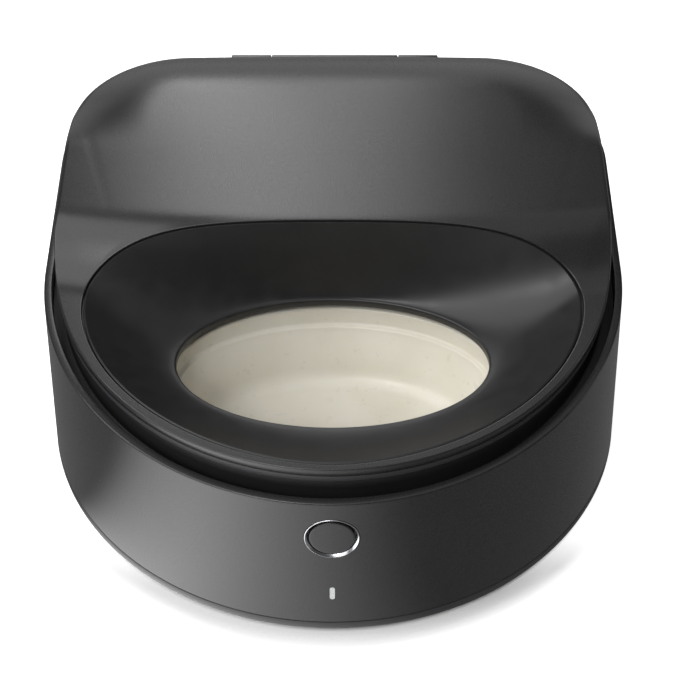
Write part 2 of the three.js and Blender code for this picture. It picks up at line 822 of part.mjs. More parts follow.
function makeWellLiner() {
  const rim = rimOutline;
  const inside = inset(rim, wellInset);
  const outside = inset(inside, -wellWall);
  const flange = inset(footOutline, rimLand + fit);
  let well = loft([
    ring(baseStations, inset(outside, wellChamfer), wellFloorBottom),
    ring(baseStations, outside, wellFloorBottom + wellChamfer),
    ring(baseStations, outside, aboveRim(-channelDepth - channelFloor)),
    ring(baseStations, flange, aboveRim(-channelDepth - channelFloor), baseLean),
    ring(baseStations, flange, aboveRim(-channelDepth), baseLean),
    ring(baseStations, outside, aboveRim(-channelDepth)),
    ring(baseStations, outside, aboveRim(collarRise)),
    ring(baseStations, inside, aboveRim(collarRise)),
    ring(baseStations, inside, wellTop + wellChamfer),
    ring(baseStations, inset(inside, wellChamfer), wellTop),
  ], false);
  const half = coldPlateSize / 2 + fit;
  const low = wellFloorBottom - overrun;
  well = well.subtract(box(-half, half, coolerY - half, coolerY + half, low, wellTop + overrun));
  return well.subtract(rod(shaftRadius + 2 * fit, low, wellTop + overrun, pinionX, pinionY));
}

function makeJacket() {
  const inner = inset(rimOutline, wellInset - wellWall - fit);
  const outer = inset(inner, -jacketThickness);
  const jacket = loft([
    ring(baseStations, outer, jacketBottom),
    ring(baseStations, outer, jacketTop),
    ring(baseStations, inner, jacketTop),
    ring(baseStations, inner, jacketBottom),
  ], true);
  const half = jacketNotch / 2;
  const front = -rimRadius;
  return jacket.subtract(box(-half, half, front, front + half, buttonZ - half, jacketTop + overrun));
}

const lidMagnetY = -lidOutline.radius + lidWall + magnetDepth;
const lidMagnetTop = rimHeight(lidMagnetY) + lidGap + panFlange - magnetSkin;
const baseMagnetY = -rimRadius + wellInset - wellWall - magnetDepth - fit;

// A flat magnet beside the middle of the front, or the pocket for it
function magnetBlock(front, top, margin) {
  const x = magnetX;
  const half = magnetWidth / 2 + margin;
  const rear = front + magnetDepth;
  const bottom = top - magnetHeight - (margin && overrun);
  return box(x - half, x + half, front - margin, rear + margin, bottom, top + margin / 2);
}

function makeLidLiner() {
  const outline = lidOutline;
  const band = inset(outline, bandInset);
  const pan = inset(rimOutline, panInset);
  let liner = loft([
    ring(lidStations, inset(band, bandChamfer), aboveRim(lidGap)),
    ring(lidStations, band, aboveRim(lidGap + bandChamfer)),
    ring(lidStations, band, aboveRim(lidGap + bandHeight)),
    ring(lidStations, inset(outline, lidWall + overlap), aboveRim(lidGap + bandHeight)),
    ring(lidStations, inset(outline, lidWall + 2 * overlap), aboveRim(lidGap + panFlange)),
    ring(lidStations, inset(pan, panWall), aboveRim(lidGap + panFlange)),
    ring(lidStations, inset(pan, panWall), panTop),
    openingRing(panOpeningMargin, panTop),
    openingRing(panOpeningMargin, panBottom),
    ring(lidStations, inset(pan, panChamfer), panBottom),
    ring(lidStations, pan, panBottom + panChamfer),
    ring(lidStations, pan, aboveRim(lidGap)),
  ], true);
  liner = liner.subtract(rod(doorPin + fit, panBottom - overrun, panTop + overrun, 0, doorY, smallSteps));
  return liner.subtract(magnetBlock(lidMagnetY, lidMagnetTop, fit));
}

// The funnel falls steeply from the hood behind the opening and gently from the lip in front.
// Its underside lies lower, and further back where the wall is steep.
function funnelRing(share, drop, outer, inner) {
  return outer.map((from, i) => {
    const to = inner[i];
    const fall = 1 - (1 - share) ** funnelPower;
    const rear = Math.max(0, Math.sin(mouthAngle(crestPoints[i])));
    return [
      lerp(from[0], to[0], share),
      lerp(from[1], to[1], share) + drop * rear,
      lerp(from[2], to[2], fall) - drop,
    ];
  });
}

function makeFunnel() {
  const rest = mouthEdge + fit;
  const bead = mouthRing(rest + mouthGroove + 2 * mouthBead, mouthBead);
  const lip = openingRing(lipRounding, openingTop);
  const under = mouthRing(rest, mouthGrooveDepth + funnelWall);
  const lipUnder = openingRing(lipFlange, openingTop - lipThickness + lipRounding);
  const lipBottom = openingTop - lipThickness;
  return loft([
    under,
    mouthRing(rest, mouthGrooveDepth),
    mouthRing(rest + mouthGroove, mouthGrooveDepth),
    mouthRing(rest + mouthGroove + mouthBead / 2, mouthBead),
    bead,
    ...funnelShares.map((share) => funnelRing(share, 0, bead, lip)),
    lip,
    openingRing(0, openingTop - lipRounding),
    openingRing(0, lipBottom),
    openingRing(lipFlange, lipBottom),
    lipUnder,
    ...[...funnelUnderShares].reverse().map((share) => funnelRing(share, funnelWall, bead, lipUnder)),
  ], true);
}

function makeSeal() {
  const outer = inset(rimOutline, wellInset - wellWall + fit);
  const inner = inset(outer, sealWidth);
  const middle = (lidGap + collarRise) / 2;
  const low = aboveRim(middle - sealThickness / 2);
  const high = aboveRim(middle + sealThickness / 2);
  return loft([
    ring(baseStations, outer, low),
    ring(baseStations, outer, high),
    ring(baseStations, inner, high),
    ring(baseStations, inner, low),
  ], true);
}

// One bowl: stepped oval walls that draw in to a rounded floor
function bowlRings(grow, floor) {
  const levels = [
    [0, trayTop + (grow ? -trayPlate / 2 : overrun)],
    [0, trayTop - bowlStepDrop + bowlStep],
    [bowlStep, trayTop - bowlStepDrop],
    [bowlStep + bowlTaper, floor + bowlRound],
    [bowlStep + bowlTaper + bowlRound, floor],
  ];
  return levels.reverse().map(([draw, z]) => oval(bowlHalfWidth + grow - draw, bowlHalfDepth + grow - draw)
    .map(([x, y]) => [x, y - bowlOffset, z]));
}

function makeTray() {
  const lipRadius = trayRadius - traySkirtWall;
  let tray = revolve([
    [0, trayTop - trayPlate],
    [lipRadius, trayTop - trayPlate],
    [lipRadius, trayTop - traySkirt],
    [trayRadius, trayTop - traySkirt],
    [trayRadius, trayTop],
    [0, trayTop],
  ], 0, 0, 2 * ovalSteps);
  tray = tray.add(rod(socketRadius, bowlBottom, trayTop - trayPlate / 2));
  const turns = Array.from({ length: bowlCount }, (_, i) => 360 * i / bowlCount);
  const outer = loft(bowlRings(bowlWall, bowlBottom), false);
  const inner = loft(bowlRings(0, bowlBottom + bowlFloor), false);
  turns.forEach((turn) => {
    tray = tray.add(outer.rotate([0, 0, turn]));
  });
  turns.forEach((turn) => {
    tray = tray.subtract(inner.rotate([0, 0, turn]));
  });
  tray = tray.subtract(rod(socketBore, bowlBottom - overrun, hubTop + socketDepth - overrun));
  return tray.translate([0, trayY, 0]);
}

function makeTurntable() {
  let table = rod(tableRadius, tableBottom, tableTop, 0, 0, 2 * roundSteps);
  for (let i = 0; i < tableWindowCount; i += 1) {
    table = table.subtract(windowCutter().rotate([0, 0, 360 * i / tableWindowCount]));
  }
  const teeth = gearOutline(tableTeeth, gearModule, pinionTurn);
  let gear = plate(teeth, gearBottom, tableBottom + overlap);
  gear = gear.subtract(rod(tablePitch - gearRim, gearBottom - overrun, tableBottom));
  table = table.add(gear);
  for (let i = 0; i < bowlCount; i += 1) {
    const turn = 2 * Math.PI * i / bowlCount - Math.PI / 2;
    const x = bowlOffset * Math.cos(turn);
    const y = bowlOffset * Math.sin(turn);
    table = table.add(rod(padRadius, tableTop - overlap, bowlBottom - fit, x, y, smallSteps));
  }
  table = table.add(rod(hubRadius, tableBottom, hubTop));
  const bore = spindleRadius + spindleClearance;
  table = table.subtract(rod(bore, gearBottom - overrun, hubTop + overrun));
  return table.translate([0, trayY, 0]);
}

// A window between two spokes, open for the cold air
function windowCutter() {
  const steps = smallSteps / 2;
  const half = Math.PI / tableWindowCount;
  const edge = (radius, side) => side * (half - tableSpoke / 2 / radius);
  const arc = (radius, from, to) => Array.from({ length: steps + 1 }, (_, i) => {
    const turn = lerp(edge(radius, from), edge(radius, to), i / steps);
    return [radius * Math.cos(turn), radius * Math.sin(turn)];
  });
  const outline = [...arc(tableWindowOuter, -1, 1), ...arc(tableWindowInner, 1, -1)];
  return plate(outline, tableBottom - overrun, tableTop + overrun);
}

function makeSpindle() {
  return revolve([
    [0, wellTop + fit],
    [flangeRadius, wellTop + fit],
    [flangeRadius, wellTop + flangeHeight],
    [spindleRadius, wellTop + flangeHeight],
    [spindleRadius, spindleTop - overlap],
    [spindleRadius - overlap, spindleTop],
    [0, spindleTop],
  ], 0, trayY);
}

function makePlatePinion() {
  const toothAt = pinionTurn + Math.PI + Math.PI / pinionTeeth;
  const top = tableBottom - fit;
  const teeth = plate(gearOutline(pinionTeeth, gearModule, toothAt), gearBottom, top, pinionX, pinionY);
  return teeth.add(rod(shaftRadius, wellFloorBottom - fit - shaftDepth, top, pinionX, pinionY));
}

function makePlateMotor() {
  const top = wellFloorBottom - fit;
  const gearbox = rod(gearboxRadius, top - gearboxHeight, top, pinionX, pinionY);
  const can = rod(motorRadius, top - gearboxHeight - motorHeight, top - gearboxHeight + overlap, pinionX, pinionY);
  const ear = box(pinionX - gearboxRadius - 2 * overrun, pinionX + gearboxRadius + 2 * overrun,
    pinionY - overrun, pinionY + overrun, top - wellWall, top);
  const bore = rod(shaftRadius + shaftClearance, top - shaftDepth - fit, top + overrun, pinionX, pinionY);
  return gearbox.add(can).add(ear).subtract(bore);
}

function makeHeatSink(bottom, top) {
  const half = sinkSize / 2;
  const baseBottom = top - sinkBase;
  let sink = box(-half, half, coolerY - half, coolerY + half, baseBottom, top);
  const pitch = (sinkSize - finThickness) / (finCount - 1);
  for (let i = 0; i < finCount; i += 1) {
    const x = -half + i * pitch;
    sink = sink.add(box(x, x + finThickness, coolerY - half, coolerY + half, bottom, baseBottom + overlap));
  }
  return sink;
}

function makeFanFrame(bottom) {
  const half = fanSize / 2;
  const top = bottom + fanHeight;
  let frame = box(-half, half, coolerY - half, coolerY + half, bottom, top);
  frame = frame.subtract(rod(fanBore, bottom - overrun, top + overrun, 0, coolerY));
  mirrored([half - 1.5 * fanCorner, coolerY + half - 1.5 * fanCorner]).forEach(([x, y]) => {
    const low = 2 * coolerY - y;
    [y, low].forEach((place) => {
      frame = frame.subtract(rod(fanCorner / 2, bottom - overrun, top + overrun, x, place, smallSteps));
    });
  });
  const cup = rod(fanHub, bottom, bottom + fanCup, 0, coolerY);
  const reach = fanBore + overlap;
  const across = box(-reach, reach, coolerY - fanStrut / 2, coolerY + fanStrut / 2, bottom, bottom + fanCup);
  const along = box(-fanStrut / 2, fanStrut / 2, coolerY - reach, coolerY + reach, bottom, bottom + fanCup);
  const bore = rod(fanShaft + fit, bottom + overlap, bottom + fanHeight, 0, coolerY, smallSteps);
  return frame.add(cup.add(across).add(along)).subtract(bore);
}

// Seven blades that twist round the hub, each a loft of leaning sections
function makeFanRotor(bottom) {
  const low = bottom + fanCup + fit;
  const high = bottom + fanHeight - fit;
  let rotor = rod(fanHub, low, high);
  rotor = rotor.add(rod(fanShaft, bottom + 2 * overlap, low + overlap, 0, 0, smallSteps));
  const blade = loft([fanHub - overlap, (fanHub + fanBore) / 2, fanBore - fanTipGap].map((radius) => {
    const lean = fanBladePitch;
    const half = fanBladeThickness / 2;
    const bottomEdge = low + overlap;
    const topEdge = high - overlap;
    return [
      [radius, -lean - half, bottomEdge],
      [radius, -lean + half, bottomEdge],
      [radius, lean + half, topEdge],
      [radius, lean - half, topEdge],
    ];
  }), false);
  for (let i = 0; i < fanBlades; i += 1) {
    rotor = rotor.add(blade.rotate([0, 0, 360 * i / fanBlades]));
  }
  return rotor.translate([0, coolerY, 0]);
}

const wallFrontAtButton = -(footOutline.radius - baseLean * buttonZ);
const ringRear = wallFrontAtButton + ringDepth;
const flangeFront = ringRear + fit;
const flangeRear = flangeFront + buttonFlangeThickness;
const switchFront = flangeRear + buttonTravel + fit / 2;
const switchRear = switchFront + switchThickness;

function makeButtonCap() {
  const front = -footOutline.radius - overrun;
  const face = rodY(buttonRadius, front, flangeFront + overlap, 0, buttonZ).intersect(wallEnvelope(0));
  return face.add(rodY(buttonFlange, flangeFront, flangeRear, 0, buttonZ));
}

function makeButtonRing() {
  const front = -footOutline.radius - overrun;
  const outer = rodY(ringOuter, front, ringRear, 0, buttonZ).intersect(wallEnvelope(ringProud));
  return outer.subtract(rodY(ringInner, front - overrun, ringRear + overrun, 0, buttonZ));
}

function boardY(width, height, front, z) {
  return box(-width / 2, width / 2, front, front + boardThickness, z - height / 2, z + height / 2);
}

function makeMainBoard() {
  const x0 = mainBoardX - mainBoardWidth / 2;
  const x1 = mainBoardX + mainBoardWidth / 2;
  const y0 = mainBoardY - mainBoardDepth / 2;
  const y1 = mainBoardY + mainBoardDepth / 2;
  const top = mainBoardZ + boardThickness;
  const chip = mainBoardDepth / 6;
  let board = box(x0, x1, y0, y1, mainBoardZ, top);
  const low = coverBottom + coverFloor + fit;
  [x0 + standoffRadius, x1 - standoffRadius].forEach((x) => {
    [y0 + standoffRadius, y1 - standoffRadius].forEach((y) => {
      board = board.add(rod(standoffRadius, low, mainBoardZ + overlap, x, y, smallSteps));
    });
  });
  const chipTop = top + chip / 5;
  board = board.add(box(mainBoardX - chip, mainBoardX + chip, mainBoardY - chip, mainBoardY + chip, mainBoardZ, chipTop));
  return board.add(rod(chip / 2, mainBoardZ, top + chip, x0 + chip, mainBoardY, smallSteps));
}

function makePowerInlet() {
  const rear = footOutline.back - baseLean * inletZ;
  const body = rodY(inletRadius, rear - inletDepth, rear - fit, inletX, inletZ, roundSteps);
  const collarRear = rear - baseWall - 2 * fit;
  const floor = rear - inletDepth + inletFloor;
  const collar = rodY(inletRadius + inletCollar, rear - inletDepth, collarRear, inletX, inletZ, roundSteps);
  const socket = rodY(inletRadius - inletWall, floor, rear + overrun, inletX, inletZ, roundSteps);
  const pin = rodY(inletPinRadius, floor - inletFloor / 2, rear - inletFloor, inletX, inletZ, smallSteps);
  return body.add(collar).subtract(socket).add(pin);
}

// Parked behind the opening at rest: an oval leaf on a toothed hub
function makeDoor() {
  const reach = doorY - openingY;
  const leaf = plate(oval(doorHalfWidth, doorHalfDepth), doorBottom, doorTop, 0, doorY + reach);
  const neck = box(-doorNeck, doorNeck, doorY, doorY + reach, doorBottom, doorTop);
  const hub = rod(doorHub, doorBottom, doorTop + overlap, 0, doorY);
  const teeth = plate(gearOutline(doorTeeth, doorModule, Math.PI / 2), doorTop - overlap, gearHeight, 0, doorY);
  const bore = rod(doorPin + doorPinGap, doorBottom - overrun, gearHeight + overrun, 0, doorY, smallSteps);
  return leaf.add(neck).add(hub).add(teeth).subtract(bore);
}

function makeDoorPinion() {
  const toothAt = -Math.PI / 2 + Math.PI / doorPinionTeeth;
  const bottom = doorTop + fit;
  const teeth = plate(gearOutline(doorPinionTeeth, doorModule, toothAt), bottom, gearHeight, 0, doorMotorY);
  return teeth.add(rod(shaftRadius - fit, gearHeight - overlap, gearHeight + fit + shaftDepth, 0, doorMotorY));
}

function makeDoorMotor() {
  const bottom = gearHeight + fit;
  const can = rod(doorMotorRadius, bottom, bottom + doorMotorHeight, 0, doorMotorY);
  return can.subtract(rod(shaftRadius - fit + shaftClearance, bottom - overrun, bottom + shaftDepth + fit, 0, doorMotorY));
}

function makeScrew([x, y]) {
  const head = rod(screwHeadRadius, coverBottom, coverBottom + screwHeadHeight - fit, x, y, smallSteps);
  return head.add(rod(screwRadius - 2 * fit, coverBottom + fit, coverBottom + screwLength, x, y, smallSteps));
}

// Base
add('base_shell', makeBaseShell(), shellGrey, 0.45, 0.2);
add('bottom_cover', makeBottomCover(), darkGrey, 0.5);
const footNames = ['foot_front_right', 'foot_front_left', 'foot_rear_right', 'foot_rear_left'];
footPlaces().forEach(([x, y], i) => {
  add(footNames[i], rod(footRadius, 0, footHeight, x, y, 2 * smallSteps), rubberBlack, 0.9);
});
bossPlaces().forEach((place, i) => {
  add(`cover_screw_${i + 1}`, makeScrew(place), steel, 0.35, 1);
});
add('well_liner', makeWellLiner(), wellBlack, 0.6);
add('insulation_jacket', makeJacket(), foamWhite, 0.95);
add('spindle', makeSpindle(), steel, 0.3, 1);
add('plate_motor', makePlateMotor(), steel, 0.4, 0.9);
add('plate_pinion', makePlatePinion(), nylonWhite, 0.5);
add('turntable', makeTurntable(), darkGrey, 0.5);
add('food_tray', makeTray(), trayBeige, 0.35);

// Cooling stack, from the well's floor down
const coldPlateBottom = wellTop - coldPlateHeight + fit;
const plateHalf = coldPlateSize / 2;
add('cold_plate', box(-plateHalf, plateHalf, coolerY - plateHalf, coolerY + plateHalf,
  coldPlateBottom, coldPlateBottom + coldPlateHeight), aluminium, 0.35, 1);
const moduleTop = coldPlateBottom - fit;
const moduleHalf = moduleSize / 2;
add('thermoelectric_module', box(-moduleHalf, moduleHalf, coolerY - moduleHalf, coolerY + moduleHalf,
  moduleTop - moduleHeight, moduleTop), foamWhite, 0.6);
const sinkTop = moduleTop - moduleHeight - fit;
const fanBottom = coverBottom + coverFloor + fit;
add('heat_sink', makeHeatSink(fanBottom + fanHeight + fit, sinkTop), aluminium, 0.4, 1);
add('fan_frame', makeFanFrame(fanBottom), rubberBlack, 0.5);
add('fan_rotor', makeFanRotor(fanBottom), rubberBlack, 0.5);

// Electronics and controls
add('main_board', makeMainBoard(), boardGreen, 0.5);
add('button_cap', makeButtonCap(), shellGrey, 0.4, 0.2);
add('button_ring', makeButtonRing(), chrome, 0.12, 1);
add('tact_switch', boardPart(switchWidth, switchWidth, switchFront, switchRear, buttonZ), rubberBlack, 0.5);
add('switch_board', boardY(switchBoardWidth, switchBoardHeight, switchRear + fit / 2, buttonZ), boardGreen, 0.5);
add('indicator_lens', lightCutter(lightWidth, lightHeight, fit).intersect(wallEnvelope(lightProud)), lightWhite, 0.3);
add('light_board', boardY(switchBoardWidth / 2, switchBoardHeight,
  -footOutline.radius + lightDepth + 2 * fit + 2 * boardThickness, lightZ), boardGreen, 0.5);
add('power_inlet', makePowerInlet(), rubberBlack, 0.5);

function boardPart(width, height, front, rear, z) {
  return box(-width / 2, width / 2, front, rear, z - height / 2, z + height / 2);
}

// Lid
add('lid_shell', makeLidShell(), shellGrey, 0.45, 0.2);
add('lid_liner', makeLidLiner(), darkGrey, 0.5);
add('feeding_funnel', makeFunnel(), wellBlack, 0.3);
add('lid_seal', makeSeal(), rubberBlack, 0.9);
add('shutter_door', makeDoor(), darkGrey, 0.4);
add('door_pivot_pin', rod(doorPin, panBottom, doorPinTop, 0, doorY, smallSteps), steel, 0.3, 1);
add('door_pinion', makeDoorPinion(), nylonWhite, 0.5);
add('door_motor', makeDoorMotor(), steel, 0.4, 0.9);
const sensorBottom = gearHeight + doorMotorHeight + 2 * fit;
const sensorY = doorMotorY - doorMotorRadius + sensorDepth / 2;
add('presence_sensor', box(-sensorWidth / 2, sensorWidth / 2, sensorY, sensorY + sensorDepth,
  sensorBottom, sensorBottom + sensorHeight), rubberBlack, 0.5);
const pinReach = hingeHalfWidth - fit;
add('hinge_pin', rodX(hingePin, -pinReach, pinReach, hingeY, hingeZ, 2 * smallSteps), steel, 0.3, 1);
add('lid_magnet', magnetBlock(lidMagnetY, lidMagnetTop, 0), steel, 0.3, 1);
const channelUnder = rimFront - channelDepth - channelFloor - fit;
add('base_magnet', magnetBlock(baseMagnetY, channelUnder, 0), steel, 0.3, 1);

export default feeder;
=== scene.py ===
"""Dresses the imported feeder: moulded shells, tray, controls, their materials, and the photo stage."""
import json
import math

import bmesh
import bpy
import numpy as np
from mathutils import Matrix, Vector
from mathutils.geometry import delaunay_2d_cdt

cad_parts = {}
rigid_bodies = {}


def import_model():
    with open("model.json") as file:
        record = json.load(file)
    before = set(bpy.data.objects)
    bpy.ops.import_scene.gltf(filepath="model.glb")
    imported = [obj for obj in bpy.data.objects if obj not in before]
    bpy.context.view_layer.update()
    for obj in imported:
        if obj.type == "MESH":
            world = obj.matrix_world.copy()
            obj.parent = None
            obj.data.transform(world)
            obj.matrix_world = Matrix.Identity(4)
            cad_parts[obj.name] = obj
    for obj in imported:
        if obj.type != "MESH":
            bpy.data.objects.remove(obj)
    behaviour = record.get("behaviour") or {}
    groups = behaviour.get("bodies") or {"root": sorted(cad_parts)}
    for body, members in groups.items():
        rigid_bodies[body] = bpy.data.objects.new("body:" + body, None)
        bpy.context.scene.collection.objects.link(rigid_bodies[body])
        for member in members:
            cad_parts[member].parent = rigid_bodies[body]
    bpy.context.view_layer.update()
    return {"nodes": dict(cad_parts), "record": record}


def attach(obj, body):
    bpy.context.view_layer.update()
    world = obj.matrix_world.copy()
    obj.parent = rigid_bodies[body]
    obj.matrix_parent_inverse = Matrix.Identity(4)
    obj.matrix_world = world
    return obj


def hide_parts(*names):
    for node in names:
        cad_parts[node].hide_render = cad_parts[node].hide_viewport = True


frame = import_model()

bl_info = {
    "name": "Wet Food Feeder",
    "version": (1, 0, 0),
    "blender": (4, 5, 0),
    "location": "View3D > Sidebar > Feeder",
    "description": "Builds the moulded shells, tray and controls of a chilled wet food feeder, with its photo stage",
    "category": "Add Mesh",
}

MM = 0.001
RIGHT, RIGHT_CORNER, BACK, LEFT_CORNER, LEFT, FRONT = range(6)


def length(label, description, millimetres):
    """A size given in millimetres, kept in metres and shown with the scene's units."""
    return bpy.props.FloatProperty(
        name=label, description=description, default=millimetres * MM, unit="LENGTH", subtype="DISTANCE", precision=5
    )


def share(label, description, default):
    """A plain number, such as a share or an exponent."""
    return bpy.props.FloatProperty(name=label, description=description, default=default, precision=4)


class FeederBody(bpy.types.PropertyGroup):
    """Sizes of the base, its cover and the well."""

    radius: length("Rim radius", "Radius of the front arc at the rim", 158)
    back: length("Back", "How far back the rear wall stands from the arc's centre", 158)
    corner: length("Corner", "Radius of the rear corners", 72)
    flare: length("Flare", "How much wider the foot is than the rim", 4.5)
    rim_front: length("Rim height in front", "Height of the rim at the front", 98.6)
    rim_back: length("Rim height at the back", "Height of the rim at the back", 122.6)
    land: length("Land", "Width of the flat land on the rim", 4.2)
    rim_edge: length("Rim edge", "Rounding of the rim's outer edge", 0.8)
    wall: length("Wall", "Thickness of the wall", 3)
    shell_bottom: length("Shell bottom", "Height of the wall's lower edge", 8.2)
    cover_bottom: length("Cover bottom", "Height of the bottom cover's underside", 0.8)
    cover_top: length("Cover top", "Height of the bottom cover's upper edge", 7.4)
    cover_floor: length("Cover floor", "Thickness of the bottom cover", 2.5)
    cover_chamfer: length("Cover chamfer", "Chamfer round the bottom cover", 2)
    well_inset: length("Well inset", "Rim outline to the inside of the well", 13)
    well_wall: length("Well wall", "Thickness of the well's wall", 2.5)
    well_top: length("Well floor", "Height of the well's floor", 37)
    channel_depth: length("Channel depth", "Depth of the channel below the rim", 10.3)
    channel_floor: length("Channel floor", "Thickness of the channel's floor", 1.8)
    collar_rise: length("Collar rise", "Height of the well's collar above the rim", 4.6)
    vents: bpy.props.IntProperty(name="Vents", description="Slots in the rear wall", default=9)
    vent_pitch: length("Vent pitch", "Distance between vents", 8)


class FeederLid(bpy.types.PropertyGroup):
    """Sizes of the lid, hood, funnel and pan."""

    inset: length("Inset", "Rim outline to the lid's outline", 8.5)
    gap: length("Gap", "Rim to the lid's lower edge", 6)
    draft: share("Draft", "Share of its height by which the hood leans in", 0.01)
    wall: length("Wall", "Thickness of the lid", 2.5)
    lip_rise: length("Lip rise", "Rim to the top of the lip", 15.2)
    lip_round: length("Lip rounding", "Rounding of the lip's edge", 0.8)
    hood_rise: length("Hood rise", "Lip plane to the hood's face at its sides", 19.95)
    crown: length("Crown", "How much higher the hood's face is in its middle", 2.5)
    crown_power: share("Crown power", "Exponent of the crown", 2.2)
    hood_round: length("Hood rounding", "Rounding of the hood's crest", 2.4)
    hood_foot: length("Hood foot", "Where the hood starts to climb from the lip, at its sides", -30)
    hood_shoulder: length("Hood shoulder", "Where the hood has its full height, at its sides", 9)
    hood_bow: length("Hood bow", "How much further forward the hood stands in its middle", 12)
    fall_start: length("Fall start", "Where the hood's face starts to sink towards the back", 50)
    fall: length("Fall", "How far the face sinks at the back", 6)
    edge_start: length("Edge fall start", "Where the crest starts to fall over", 55)
    edge_end: length("Edge fall end", "Where the crest has fallen over fully", 105)
    edge_fall: length("Edge fall", "How far the crest falls over", 9)
    edge_width: length("Edge width", "Width of the strip that falls over", 44)
    band_height: length("Band height", "Height of the band under the lip", 3.9)
    band_inset: length("Band inset", "How far the band stands back", 0.4)
    mouth_half: length("Mouth half width", "Half the width of the mouth", 132.8)
    mouth_middle: length("Mouth middle", "Where the mouth is widest", -39.8)
    mouth_front: length("Mouth front", "Reach of the mouth towards the front", 106.7)
    mouth_rear: length("Mouth rear", "Reach of the mouth towards the back", 38.2)
    mouth_front_power: share("Mouth front power", "Exponent of the front half oval", 1.85)
    mouth_rear_power: share("Mouth rear power", "Exponent of the rear half oval", 2.8)
    opening_half: length("Opening half width", "Half the width of the feeding opening", 82.7)
    opening_depth: length("Opening half depth", "Half the depth of the feeding opening", 47)
    opening_y: length("Opening centre", "Centre of the feeding opening", -60.5)
    opening_top: length("Opening top", "Height of the funnel's lip", 100)
    funnel_power: share("Funnel power", "Exponent of the funnel's fall", 1.4)
    pan_bottom: length("Pan bottom", "Height of the pan's underside", 91.2)
    hinge_y: length("Hinge axis back", "Where the hinge axis is, front to back", 154.5)
    hinge_z: length("Hinge axis height", "Height of the hinge axis", 136)
    barrel: length("Barrel", "Radius of the hinge barrels", 4)


class FeederTray(bpy.types.PropertyGroup):
    """Sizes of the turning food tray."""

    centre: length("Centre", "Axis of the tray", 14)
    radius: length("Radius", "Radius of the tray", 129)
    top: length("Top", "Height of the tray's plate", 90)
    skirt: length("Skirt", "Depth of the skirt round the tray", 10)
    offset: length("Bowl offset", "Axis to the middle of a bowl", 74.5)
    half_width: length("Bowl half width", "Half the width of a bowl", 86)
    half_depth: length("Bowl half depth", "Half the depth of a bowl", 50)
    step: length("Step", "Width of the step under the bowl's rim", 3)
    step_drop: length("Step drop", "Depth of that step", 11)
    taper: length("Taper", "How far the wall leans in", 9)
    round: length("Floor rounding", "Radius between wall and floor", 12)
    floor: length("Floor", "Height of the bowl's floor, inside", 48.4)
    wall: length("Wall", "Thickness of the bowl", 2)
    bowls: bpy.props.IntProperty(name="Bowls", description="Number of bowls", default=3)


class FeederControls(bpy.types.PropertyGroup):
    """Sizes of the button, its ring, the light and the power inlet."""

    button_z: length("Button height", "Height of the button's middle", 73.2)
    cap_radius: length("Cap radius", "Radius of the button", 11.5)
    ring_outer: length("Ring outside", "Outer radius of the trim ring", 14)
    ring_inner: length("Ring inside", "Inner radius of the trim ring", 12.5)
    ring_proud: length("Ring proud", "How far the ring stands out", 0.35)
    light_z: length("Light height", "Height of the indicator's middle", 31)
    light_width: length("Light width", "Width of the indicator", 2.8)
    light_height: length("Light length", "Length of the indicator", 9.2)
    inlet_x: length("Inlet place", "Sideways place of the power inlet", 58)
    inlet_z: length("Inlet height", "Height of the power inlet", 24)
    inlet_radius: length("Inlet radius", "Outer radius of the inlet", 5.5)


class FeederStage(bpy.types.PropertyGroup):
    """Camera, lights and floor of the photograph."""

    distance: length("Camera distance", "Lens to the point looked at", 1054.6)
    tilt: bpy.props.FloatProperty(
        name="Camera tilt", description="How far the camera looks down", default=math.radians(45.14), subtype="ANGLE"
    )
    aim: bpy.props.FloatVectorProperty(
        name="Aim", description="Point looked at", default=(9.109 * MM, 0, 47.44 * MM), subtype="XYZ", precision=5
    )
    lens: share("Lens", "Focal length in millimetres on a 36 mm sensor", 1845.07 / 700 * 36)
    surround: share("Surround", "Brightness of the studio's walls", 0.08)


# ---------------------------------------------------------------- outlines and rings


class Path:
    """Places round the outline, anticlockwise from the front arc's right end: which stretch, and how far along."""

    def __init__(self, zone, along):
        self.zone = np.asarray(zone)
        self.along = np.asarray(along, float)

    @classmethod
    def even(cls, side=26, corner=24, back=24, arc=176):
        """Even places on the straights and corners, and closer ones at both ends of the front arc."""
        steps, evenness = np.arange(arc) / arc, 0.45
        near_ends = 0.5 - 0.5 * np.cos(steps * np.pi)
        parts = [np.arange(count) / count for count in (side, corner, back, corner)]
        parts += [1 - parts[0], evenness * steps + (1 - evenness) * near_ends]
        zones = np.concatenate([np.full(len(part), k) for k, part in enumerate(parts)])
        return cls(zones, np.concatenate(parts))

    def points(self, outline):
        """X and Y on an outline of straight sides, round rear corners and a half circle in front."""
        radius, back, corner = outline
        straight, flat = back - corner, radius - corner
        along, turn, arc = self.along, self.along * np.pi / 2, self.along * np.pi
        stretches = [
            (radius + 0 * turn, straight * along),
            (flat + corner * np.cos(turn), straight + corner * np.sin(turn)),
            (flat * (1 - 2 * along), back + 0 * turn),
            (-flat - corner * np.sin(turn), straight + corner * np.cos(turn)),
            (-radius + 0 * turn, straight * along),
            (-radius * np.cos(arc), -radius * np.sin(arc)),
        ]
        on = [self.zone == k for k in range(len(stretches))]
        return tuple(np.select(on, values) for values in zip(*stretches))


def inset(outline, distance):
    """The same outline drawn in all round by a distance, which may differ from place to place."""
    return tuple(side - distance for side in outline)


def lerp(a, b, part):
    """A value part of the way from a to b."""
    return a + (b - a) * part


def smooth(part):
    """Goes softly from none at 0 to all at 1."""
    held = np.clip(part, 0, 1)
    return held**2 * (3 - 2 * held)


def smoother(part):
    """As smooth, but without a step in its curvature at either end."""
    held = np.clip(part, 0, 1)
    return held**3 * (10 - 15 * held + 6 * held**2)


